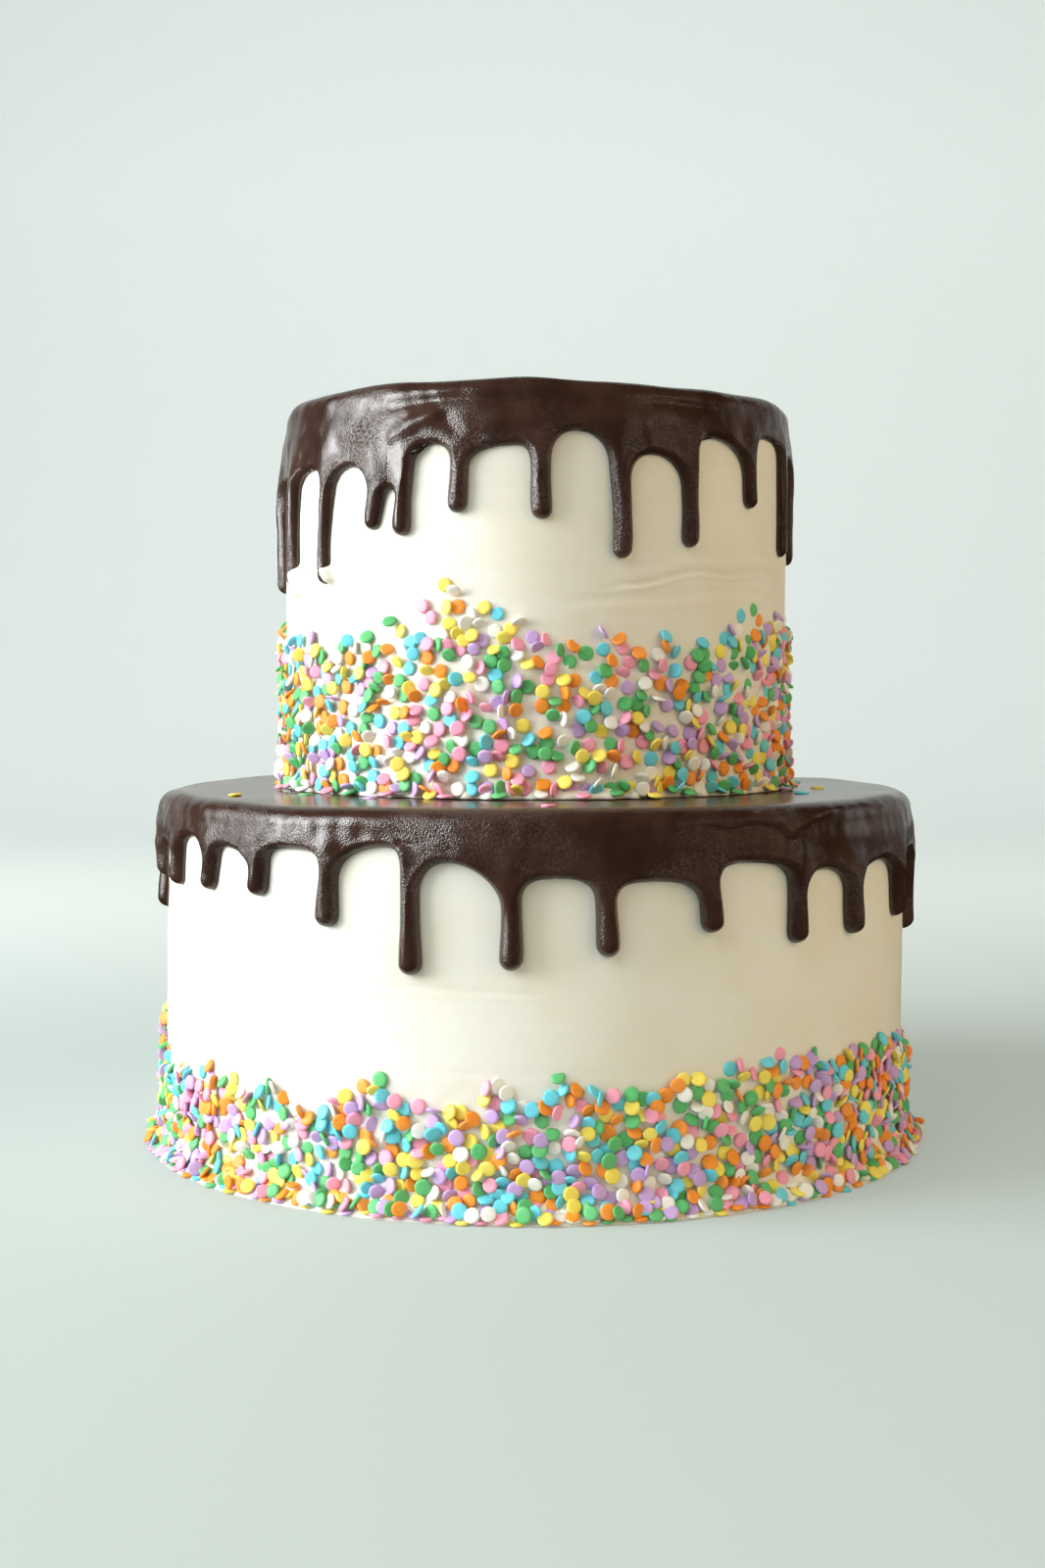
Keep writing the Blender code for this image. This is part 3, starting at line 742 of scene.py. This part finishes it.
def strip_drops(across, drip, left, right, radius, coat):
    """Offset and drop of each point of a strip under the rim: even rows to the arch, then the drip's."""
    per_degree = math.radians(1.0) * radius
    sides = strip_sides(drip, left, right)
    gaps = ((drip[0] - left[0]) * per_degree, (right[0] - drip[0]) * per_degree)
    tip = drip[1] * MM
    toward = (across + 1.0) / 2.0
    rim_drop = coat["top"] + TIER_EDGE + GAP
    arch = sides[0][0] + (sides[1][0] - sides[0][0]) * toward
    above = rim_drop + (arch - rim_drop) * np.linspace(0.0, 1.0, SKIRT_ROWS + 1)[1:-1, None]
    depths = [drip_depths(tip, *side, coat) for side in sides]
    below = depths[0][:, None] * (1.0 - toward) + depths[1][:, None] * toward
    drop = np.concatenate([above, below])
    halves = [half_width(drop, tip, *side, gap, coat) for side, gap in zip(sides, gaps)]
    half = np.where(across < 0.0, halves[0], halves[1])
    half[: len(above)] = np.where(across < 0.0, gaps[0], gaps[1])
    return across * half, drop


def outline_distance(x, drop, drip, left, right, radius, coat):
    """Distance on the unrolled side from each point to the nearest of many points on the outline."""
    per_degree = math.radians(1.0) * radius
    tip = drip[1] * MM
    nearest = np.full(x.shape, np.inf)
    for sign, arch, side in zip((-1.0, 1.0), (left, right), strip_sides(drip, left, right)):
        half_gap = abs(arch[0] - drip[0]) * per_degree
        knots = drip_depths(tip, *side, coat)
        depth = np.interp(np.linspace(0, len(knots) - 1, 900), np.arange(len(knots)), knots)
        edge = half_width(depth, tip, *side, half_gap, coat)
        along = np.concatenate([[0.0], np.cumsum(np.hypot(np.diff(edge), np.diff(depth)))])
        even = np.linspace(0.0, along[-1], 360)
        edge = sign * np.interp(even, along, edge)
        depth = np.interp(even, along, depth)
        gap = np.hypot(x[..., None] - edge, drop[..., None] - depth).min(axis=-1)
        nearest = np.minimum(nearest, gap)
    return nearest


def pour_mesh(name, size, coat, row, relief, drift_seed):
    """Strips of the pour, each an outer and an inner grid, welded along arches and neighbours.

    The outer radius is the inner one plus thickness times the square root of 1 minus (1 minus the
    distance to the outline over the edge's roundness) squared. Above each drip the flow that fed
    it stands out as a soft ridge, and along the arches the edge is a fuller lip.
    """
    radius = size["radius"] + GAP
    inner_top = size["base"] + size["height"] + GAP
    edge = TIER_EDGE + GAP
    top = inner_top + coat["top"]
    per_degree = math.radians(1.0) * radius
    draw = np.random.default_rng(drift_seed)
    rim_drop = coat["top"] + edge
    arch_line = min(arch[1] for arch in row[1]) * MM
    turn = np.radians(np.linspace(90.0, 0.0, RIM_ROWS + 1))[:, None]
    plate = (np.linspace(0.0, 1.0, PLATE_ROWS + 1)[:-1, None] ** 0.6) * (radius - edge)
    points = []
    faces = []
    count = 0
    for drip, left, right in zip(row[0], row[1], row[1][1:]):
        own = {**coat, "spread": drip[3]}
        drift = draw.uniform(-0.5, 0.5, 2) * MM
        fatter = draw.uniform(0.94, 1.07)
        for across, outer in ((ACROSS, True), (ACROSS_INNER, False)):
            x, drop = strip_drops(across, drip, left, right, radius, own)
            arch = (left[1] + (right[1] - left[1]) * (across + 1.0) / 2.0) * MM
            run = np.clip((drop - arch) / (drip[1] * MM - arch), 0.0, 1.0)
            wander = drift[0] * run**2 + drift[1] * np.sin(math.pi * run) * run
            wander += drip[2] * MM * ease(run, 0.05, 0.85)
            bearing = drip[0] + (x * (1.0 + (fatter - 1.0) * ease(run, 0.25, 0.7)) + wander) / per_degree
            thickness = np.zeros_like(x)
            if outer:
                distance = outline_distance(x, drop, drip, left, right, radius, own)
                growth = np.clip((drop - arch) / (drip[1] * MM - arch - coat["bulb"]), 0.0, 1.0)
                roundness = EDGE_ROUND + (DRIP_ROUND - EDGE_ROUND) * ease(growth, 0.1, 0.5)
                rounded = np.sqrt(1.0 - (1.0 - np.clip(distance / roundness, 0.0, 1.0)) ** 2)
                rounded[SKIRT_ROWS - 1:, [0, -1]] = 0.0
                skirt_coat = coat["rim"] + (coat["side"] - coat["rim"]) * ease(drop, rim_drop, arch_line)
                flow = np.exp(-((x / FLOW_WIDTH) ** 2)) * (1.0 - across**6)
                flow = flow * ease(drop, rim_drop, arch + 1.0 * MM)
                flow = (coat["drip"] - coat["side"] + FLOW_HEIGHT) * flow - VALLEY_DEPTH * (1.0 - flow)
                lip = LIP_HEIGHT * np.exp(-(((distance - 1.9 * MM) / (1.3 * MM)) ** 2))
                thickness = skirt_coat + (1.0 - growth) * (flow * ease(drop, rim_drop, arch) + lip)
                thickness = (thickness + (coat["drip"] - coat["side"]) * growth) * rounded
                thickness[drop >= drip[1] * MM - 1e-9] = 0.0
                thickness += relief(bearing, drop, radius) * rounded
            skirt = around(bearing, radius + thickness + size["lean"](bearing, drop), top - drop)
            edge_bearing = np.broadcast_to(bearing[0], (len(turn), len(across)))
            side = edge + (coat["rim"] if outer else 0.0)
            rise = edge + (coat["top"] if outer else 0.0)
            rim_reach = radius - edge + side * np.cos(turn)
            rim_level = inner_top - edge + rise * np.sin(turn)
            depth = np.broadcast_to(top - rim_level, edge_bearing.shape)
            if outer:
                rim_reach = rim_reach + relief(edge_bearing, depth, radius) * np.cos(turn)
                rim_level = rim_level + size["rise"](edge_bearing, rim_reach) * np.sin(turn)
            rim_reach = rim_reach + size["lean"](edge_bearing, depth)
            plate_bearing = np.broadcast_to(bearing[0], (len(plate), len(across)))
            plate_reach = plate * (1.0 + size["lean"](plate_bearing, 0.0) / radius)
            plate_level = np.full_like(plate_bearing, top if outer else inner_top)
            if outer:
                plate_level = plate_level + size["rise"](plate_bearing, plate_reach)
            rim = around(edge_bearing, rim_reach, rim_level)
            lid = around(plate_bearing, plate_reach, plate_level)
            grid = np.concatenate([lid, rim, skirt])
            quads = grid_faces(len(grid), len(across), first=count)
            faces.append(quads if outer else quads[:, ::-1])
            points.append(grid.reshape(-1, 3))
            count += grid.shape[0] * grid.shape[1]
    mesh = mesh_from(name, np.concatenate(points), *faces)
    open_edges = weld(mesh, 0.004 * MM)
    print(f"{name}: {open_edges} open edges")
    return mesh


# %% Relief of the pours
LOWER_FOLD = (
    (19, 3.0), (26, 6.2), (30, 4.9), (33.6, 6.0), (36, 9.8), (38.2, 7.3), (40.4, 5.5), (45, 3.5),
    (50, 2.0),
)

# A nick and a dent
LOWER_MARKS = ((-0.8, 0.9, ((-17.6, 9.8), (-15.8, 10.4))), (-0.5, 2.6, ((41.5, 12.0), (43.0, 14.0))))

# A roll under the rim, two grooves, and a ridge that ends in a hollow
UPPER_MARKS = (
    (0.25, 1.6, ((-38.0, 4.6), (-24.0, 3.0), (-8.0, 3.0), (6.0, 4.0))),
    (-0.5, 1.5, ((-31.0, 7.6), (-24.0, 6.6), (-17.0, 6.1), (3.0, 7.6))),
    (-0.4, 1.1, ((25.0, 6.6), (39.7, 7.2))),
    (0.9, 2.1, ((-30.0, 16.4), (-25.0, 12.8), (-21.0, 10.7))),
    (-1.2, 2.2, ((-18.2, 12.0), (-16.0, 15.6))),
)


def lower_pour_relief(bearing, drop, radius):
    """Slow and short waves, the marks, and on the right a second flow that lies over the first."""
    turned = half_turned(bearing)
    slow = 0.30 * MM * waves(bearing, drop, radius, 24 * MM, 51, level_stretch=1.8)
    small = 0.11 * MM * waves(bearing, drop, radius, 7 * MM, 52, level_stretch=1.5)
    below = drop - eased_table(LOWER_FOLD, turned)
    inside = ease(turned, 20.0, 28.0) * (1.0 - ease(turned, 41.0, 48.0))
    edge = 0.6 * MM * np.exp(-(((below / MM + 1.6) / 1.6) ** 2))
    under = 1.3 * MM * ease(below, -0.7 * MM, 0.4 * MM) * np.exp(-np.maximum(below, 0.0) / (2.4 * MM))
    return slow + small + (edge - under) * inside + marks(turned, drop, radius, LOWER_MARKS)


def upper_pour_relief(bearing, drop, radius):
    """Slow and short waves and the marks. The skirt is thinner on the right."""
    turned = half_turned(bearing)
    slow = 0.25 * MM * waves(bearing, drop, radius, 22 * MM, 61, level_stretch=1.8)
    small = 0.09 * MM * waves(bearing, drop, radius, 6 * MM, 62, level_stretch=1.5)
    thinner = 0.7 * MM * ease(turned, 40.0, 80.0) * ease(drop, 6.0 * MM, 14.0 * MM)
    return slow + small + marks(turned, drop, radius, UPPER_MARKS) - thinner


lower_pour = pour_mesh("lower_pour", LOWER, LOWER_COAT, lower_row, lower_pour_relief, 71)
upper_pour = pour_mesh("upper_pour", UPPER, UPPER_COAT, upper_row, upper_pour_relief, 72)
add_piece(lower_pour, ganache, "lower_ganache", slot="ganache")
add_piece(upper_pour, ganache, "upper_ganache", slot="ganache")

# %% [markdown]
# Confetti
#
# Round sugar confetti is stamped from a sheet, so each disc is flat with soft edges and about one
# size. It was pressed on by the handful: most discs lie flat in the cream, some lean on the disc
# beside them, and the top of each band is ragged. The solids hold a few of the discs, spread
# evenly. The same rule is followed here for those, and many more are thrown in between them, each
# keeping a least distance to the ones already there and leaning on any that it overlaps.

# %% Confetti sizes
CONFETTI_RADIUS = 2.2 * MM
CONFETTI_THICKNESS = 1.1 * MM
CONFETTI_STAND = 0.3 * MM
CONFETTI_TILT = 24.0
CONFETTI_SIDES = 12
ON_EDGE = 0.13
GOLDEN = 0.6180339887

# Discs that the solids have too, as (number, seed)
LOWER_SOLID = (108, 3000)
UPPER_SOLID = (82, 5000)

# Discs thrown in between them, as (tries, least distance, seed)
LOWER_THROWN = (20000, 2.65 * MM, 81)
UPPER_THROWN = (15000, 3.1 * MM, 91)

# Loose bank at each foot, as (number, its start and end beyond the side, height, seed)
LOWER_BANK = (430, (0.8 * MM, 4.6 * MM), 5.5 * MM, 95)
UPPER_BANK = (44, (1.0 * MM, 3.2 * MM), 1.4 * MM, 96)

# Loose discs on the ledge, as (bearing, distance from the axis in mm)
LEDGE_CONFETTI = (
    (-57.5, 107.8), (-50, 90.5), (-33, 89.0), (2, 113.0), (60.6, 95.0), (79.6, 93.5), (104, 92.5),
    (153, 101.0), (-131, 94.0),
)

# %% Discs of the solids


def solid_discs(count, seed, band):
    """Bearing, rise, tilt, heading, spin and lift of the solids' own discs, by the same rule."""
    rows = []
    for number in range(count):
        draw = random.Random(seed + number)
        bearing = -180.0 + 360.0 * ((number + 0.5) / count + draw.uniform(-0.3, 0.3) / count)
        share_up = (0.5 + number * GOLDEN) % 1.0
        rise = float(band_height(band, np.array(bearing))) * (1.0 - (1.0 - share_up) ** 0.72)
        tilt = CONFETTI_TILT * draw.random()
        spin = 60.0 * draw.random()
        heading = 360.0 * draw.random() + 90.0
        lift = 0.3 * CONFETTI_RADIUS * math.sin(math.radians(tilt))
        rows.append((bearing, rise, tilt, heading, spin, lift))
    return np.array(rows)


def thrown_discs(fixed, band, radius, tries, least, seed):
    """More discs between the fixed ones: random spots that keep the least distance to all before.

    A disc that overlaps earlier ones rests on them: it rises with their number, most on the side
    where they lie. A few stand on edge.
    """
    draw = np.random.default_rng(seed)
    per_degree = math.radians(1.0) * radius
    spots = draw.uniform((-180.0, 0.0), (180.0, 1.25), (tries, 2))
    height = band_height(band, spots[:, 0])
    rise = spots[:, 1] * height
    ragged = 0.07 * waves(spots[:, 0], rise, radius, 14 * MM, seed + 1)
    wanted = draw.random(tries) < 1.0 - ease(spots[:, 1] + ragged, 0.90, 1.04)
    looser = np.clip(waves(spots[:, 0], rise, radius, 14 * MM, seed + 2), -0.6, 1.5)
    spacing = least * (1.0 + 0.17 * looser)
    near = np.empty((len(fixed) + tries, 2))
    near[: len(fixed)] = fixed[:, :2] * (per_degree, 1.0)
    total = len(fixed)
    rows = []
    whole_turn = 360.0 * per_degree
    for bearing, y, room in zip(spots[wanted, 0], rise[wanted], spacing[wanted]):
        away = near[:total] - (bearing * per_degree, y)
        away[:, 0] -= whole_turn * np.round(away[:, 0] / whole_turn)
        distance = np.hypot(away[:, 0], away[:, 1])
        if distance.min() < room:
            continue
        under = distance < 1.9 * CONFETTI_RADIUS
        lean = (away[under] / distance[under, None]).sum(axis=0) / max(1, under.sum())
        tilt = 34.0 * np.hypot(*lean) + 16.0 * draw.random() if under.any() else 16.0 * draw.random()
        lift = min(3, under.sum()) * 0.38 * CONFETTI_THICKNESS
        heading = math.degrees(math.atan2(lean[1], lean[0])) + draw.normal(0.0, 25.0)
        if draw.random() < ON_EDGE:
            tilt = draw.uniform(40.0, 78.0)
            lift = 0.45 * CONFETTI_RADIUS
            heading = 360.0 * draw.random()
        rows.append((bearing, y, tilt, heading, 60.0 * draw.random(), lift))
        near[total] = (bearing * per_degree, y)
        total += 1
    return np.array(rows)


# %% [markdown]
# A disc's place is a matrix: its own axis is the surface's normal, tipped towards a heading. Here
# all the axes are worked out at once, and one small disc, a stack of rings with 12 corners each,
# is carried to every place by one product of arrays.

# %% Disc places and meshes


def normalized(vectors):
    return vectors / np.linalg.norm(vectors, axis=-1, keepdims=True)


def tipped(normal, tilt, heading):
    """The normal turned by tilt, so that the side of the disc towards the heading rises."""
    across = normalized(np.cross((0.0, 0.0, 1.0), normal))
    up = np.cross(normal, across)
    heading = np.radians(heading)[:, None]
    toward = across * np.cos(heading) + up * np.sin(heading)
    tilt = np.radians(tilt)[:, None]
    return normal * np.cos(tilt) - toward * np.sin(tilt)


def side_places(discs, size):
    """Centres and axes of discs on a tier's side. Near a spread foot they lie back with the slope."""
    bearing, rise, tilt, heading, spin, lift = discs.T
    out = around(bearing, 1.0, 0.0)
    slope = np.clip(1.0 - rise / FOOT_HEIGHT, 0.0, 1.0) * (size["foot"] > 0.0)
    lean = np.radians(52.0 * slope)
    normal = out * np.cos(lean)[:, None]
    normal[:, 2] += np.sin(lean)
    lowest = CONFETTI_RADIUS * np.cos(np.maximum(0.0, lean - np.radians(tilt)))
    level = np.maximum(rise, lowest + CONFETTI_THICKNESS / 2)
    reach = size["radius"] + size["foot"] * slope**2
    centre = out * reach[:, None] + normal * (CONFETTI_STAND + lift)[:, None]
    centre[:, 2] += size["base"] + level
    return centre, tipped(normal, tilt, heading), spin


def foot_places(size, count, spread, bank, seed):
    """A loose bank of discs against the foot: the further out, the lower and the flatter they lie."""
    draw = np.random.default_rng(seed)
    bearing = (np.arange(count) + draw.uniform(-0.4, 0.4, count)) * 360.0 / count
    outward = (np.arange(count) * GOLDEN % 1.0) ** 0.8
    reach = size["radius"] + spread[0] + (spread[1] - spread[0]) * outward
    level = size["base"] + 0.5 * CONFETTI_THICKNESS + draw.uniform(0.0, 0.6, count) * MM
    level += (1.0 - outward) * draw.uniform(0.3, 1.0, count) * bank
    lean = np.radians(48.0 + 38.0 * outward)
    out = around(bearing, 1.0, 0.0)
    normal = out * np.cos(lean)[:, None]
    normal[:, 2] += np.sin(lean)
    centre = out * reach[:, None]
    centre[:, 2] = level
    tilt = 26.0 * draw.random(count) * (1.2 - outward)
    return centre, tipped(normal, tilt, draw.uniform(0.0, 360.0, count)), draw.uniform(0.0, 60.0, count)


def ledge_places():
    """The discs that fell on the ledge lie almost flat, sunk a little into the ganache."""
    bearing, reach = np.array(LEDGE_CONFETTI, float).T
    draws = [random.Random(number) for number in range(len(bearing))]
    tilt = np.array([3.0 + 5.0 * draw.random() for draw in draws])
    heading = np.radians([360.0 * draw.random() for draw in draws])
    out = around(bearing, 1.0, 0.0)
    beside = np.cross((0.0, 0.0, 1.0), out)
    toward = out * np.cos(heading)[:, None] + beside * np.sin(heading)[:, None]
    axes = np.array((0.0, 0.0, 1.0)) + toward * np.tan(np.radians(tilt))[:, None]
    centres = around(bearing, reach * MM, LEDGE + 0.25 * CONFETTI_THICKNESS)
    return centres, normalized(axes), bearing % 60.0


DISC_RINGS = ((0.66, 0.44), (0.90, 0.36), (1.0, 0.08), (0.98, -0.18), (0.84, -0.42))


def disc_shape():
    """Rings of one disc: a slightly domed top, thin rounded edges and a flat underside."""
    turn = np.arange(CONFETTI_SIDES) * 2.0 * math.pi / CONFETTI_SIDES
    rings = [
        np.stack([CONFETTI_RADIUS * r * np.cos(turn), CONFETTI_RADIUS * r * np.sin(turn),
                  np.full(CONFETTI_SIDES, CONFETTI_THICKNESS * z)], axis=-1)
        for r, z in DISC_RINGS
    ]
    points = np.concatenate(rings)
    sides = grid_faces(len(DISC_RINGS), CONFETTI_SIDES, closed=True)
    lid = np.arange(CONFETTI_SIDES)[None, :]
    underside = (len(points) - CONFETTI_SIDES + np.arange(CONFETTI_SIDES))[None, ::-1]
    return points, sides, np.concatenate([lid, underside])


def confetti_mesh(name, centres, axes, spins, sizes, shades):
    """One disc carried to every place: each point is the centre plus its x, y and z along three axes."""
    shape, sides, caps = disc_shape()
    first = normalized(np.cross(axes, (0.31, 0.17, 0.93)))
    second = np.cross(axes, first)
    spin = np.radians(spins)[:, None]
    across = first * np.cos(spin) + second * np.sin(spin)
    along = np.cross(axes, across)
    turned = np.stack([across, along, axes], axis=1)
    points = np.einsum("pk,nkc->npc", shape, turned) * sizes[:, None, None] + centres[:, None, :]
    start = (np.arange(len(centres)) * len(shape))[:, None, None]
    mesh = mesh_from(
        name, points.reshape(-1, 3),
        (sides[None] + start).reshape(-1, 4), (caps[None] + start).reshape(-1, CONFETTI_SIDES),
    )
    shade = mesh.attributes.new("shade", "FLOAT", "POINT")
    shade.data.foreach_set("value", np.repeat(shades, len(shape)).astype(np.float32))
    return mesh


# %% Scatter the confetti
lower_fixed = solid_discs(*LOWER_SOLID, LOWER_BAND)
upper_fixed = solid_discs(*UPPER_SOLID, UPPER_BAND)
lower_thrown = thrown_discs(lower_fixed, LOWER_BAND, LOWER["radius"], *LOWER_THROWN)
upper_thrown = thrown_discs(upper_fixed, UPPER_BAND, UPPER["radius"], *UPPER_THROWN)
lower_discs = np.concatenate([lower_fixed, lower_thrown])
upper_discs = np.concatenate([upper_fixed, upper_thrown])
places = (
    side_places(lower_discs, LOWER), side_places(upper_discs, UPPER),
    foot_places(LOWER, *LOWER_BANK), foot_places(UPPER, *UPPER_BANK), ledge_places(),
)
centres, axes, spins = (np.concatenate(parts) for parts in zip(*places))
print("confetti:", len(lower_discs), "below and", len(upper_discs), "above,", len(centres), "in all")

# Share of each colour, in the order of the finishes
COLOUR_SHARES = (0.15, 0.16, 0.15, 0.15, 0.14, 0.15, 0.10)
pick = np.random.default_rng(101)
colour_of = pick.choice(len(COLOUR_SHARES), len(centres), p=COLOUR_SHARES)
disc_sizes = pick.uniform(0.92, 1.09, len(centres))
disc_shades = pick.random(len(centres))
for index, (name, finish) in enumerate(confetti_finish.items()):
    mine = colour_of == index
    values = (centres[mine], axes[mine], spins[mine], disc_sizes[mine], disc_shades[mine])
    mesh = confetti_mesh(f"confetti_{name}", *values)
    add_piece(mesh, finish, "lower_tier", "upper_tier", slot="confetti")

# %% [markdown]
# Studio and camera
#
# The floor runs level to the wall, which bends up from it, so that no horizon shows behind the cake.
# A wide window light stands to the left, as the photograph has it. A warm fill on the right and a
# cool one from above light the cake and aren't mirrored in its gloss, and two cards on the right are
# mirrored and give no light. The camera is level, 660 mm in front of the cake's axis and a little
# over the ledge, and its lens is shifted to frame the cake as the photograph does.

# %% Backdrop, lights and camera


def card(name, y, z, material):
    """A sheet of the studio: a profile in Y and Z carried along X."""
    x = np.linspace(-1.6, 1.6, 9)
    parts = np.broadcast_arrays(x[None, :], y[:, None], z[:, None])
    points = np.stack(parts, axis=-1).reshape(-1, 3)
    piece = bpy.data.objects.new(name, mesh_from(name, points, grid_faces(len(y), len(x))[:, ::-1]))
    piece.data.materials.append(material)
    bpy.context.scene.collection.objects.link(piece)
    return piece


def backdrop_material():
    """Pale greenish grey card, darker in front. Its glow is painted light: it glows a little, most far
    back, standing in for a lit room.
    """
    material, tree, shader, place = new_material("pale_card")
    split = add_node(tree, "ShaderNodeSeparateXYZ", {0: place})
    back = stretch(tree, split.outputs["Y"], 0.0, 0.9, interpolation="SMOOTHSTEP")
    far = stretch(tree, split.outputs["Y"], 0.3, 2.0, interpolation="SMOOTHSTEP")
    set_inputs(tree, shader, {
        "Base Color": mix_colours(tree, back, (0.32, 0.365, 0.355), (0.725, 0.79, 0.775)),
        "Roughness": 0.9,
        # Painted light: the card glows as though lit by the room, most far back
        "Emission Color": mix_colours(tree, far, (0.235, 0.265, 0.25), (0.27, 0.29, 0.31)),
        "Emission Strength": 1.0,
    })
    return material


FLOOR_END = 1.4
BEND = 0.9
WALL_TOP = 3.2
pale_card = backdrop_material()
floor = card("floor", np.array([-0.36, 0.0, 0.8, FLOOR_END]), np.zeros(4), pale_card)
floor.visible_glossy = False
turn = np.radians(np.linspace(0.0, 90.0, 25))
wall_y = np.append(FLOOR_END + BEND * np.sin(turn), FLOOR_END + BEND)
wall_z = np.append(BEND * (1.0 - np.cos(turn)), WALL_TOP)
card("wall", wall_y, wall_z, pale_card)


def add_light(name, bearing, distance, level, size, power, colour, mirrored=True, lighting=True):
    """A square area light at a bearing, aimed at the middle of the cake.

    A fill isn't mirrored in the gloss. A card that is only mirrored gives no light.
    """
    light = bpy.data.lights.new(name, "AREA")
    light.shape = "SQUARE"
    light.size = size
    light.energy = power
    light.color = colour
    lamp = bpy.data.objects.new(name, light)
    lamp.visible_glossy = mirrored
    lamp.visible_diffuse = lighting
    lamp.location = around(np.array(bearing), distance, level)
    aim = lamp.location.copy()
    aim.z -= CAKE_TOP / 2.0
    lamp.rotation_euler = aim.to_track_quat("Z", "Y").to_euler()
    bpy.context.scene.collection.objects.link(lamp)


add_light("window", -76.0, 1.3, 0.50, 0.85, 31.0, (0.96, 1.0, 1.0))
add_light("room", 62.0, 1.7, 0.7, 1.4, 13.5, (1.0, 0.73, 0.36), mirrored=False)
add_light("ceiling", -40.0, 1.3, 1.3, 1.2, 12.5, (0.88, 1.0, 1.0), mirrored=False)
add_light("warm_card", 60.0, 1.7, 0.55, 0.45, 1.0, (1.0, 0.85, 0.70), lighting=False)
add_light("side_card", 118.0, 1.7, 0.45, 0.80, 1.4, (1.0, 0.96, 0.93), lighting=False)

world = bpy.data.worlds.new("soft_room")
world.use_nodes = True
background = world.node_tree.nodes["Background"]
set_inputs(world.node_tree, background, {"Color": (1.0, 0.94, 0.82, 1.0), "Strength": 0.25})
bpy.context.scene.world = world
world.cycles_visibility.glossy = False
bpy.context.scene.view_settings.view_transform = "Standard"

# Where the photograph has the cake's axis and the camera's level, in pixels off its middle
PHOTO_HEIGHT = 1600.0
AXIS_TO_THE_RIGHT = 12.0
LEVEL_ABOVE = 100.0
camera_data = bpy.data.cameras.new("camera")
camera_data.sensor_fit = "AUTO"
camera_data.sensor_width = 36.0
camera_data.lens = 45.45
camera_data.clip_end = 20.0
camera = bpy.data.objects.new("camera", camera_data)
camera.location = (0.0, -0.660, 0.1462)
camera.rotation_euler = (math.radians(90.0), 0.0, 0.0)
camera_data.shift_x = -AXIS_TO_THE_RIGHT / PHOTO_HEIGHT
camera_data.shift_y = -LEVEL_ABOVE / PHOTO_HEIGHT
bpy.context.scene.collection.objects.link(camera)
bpy.context.scene.camera = camera
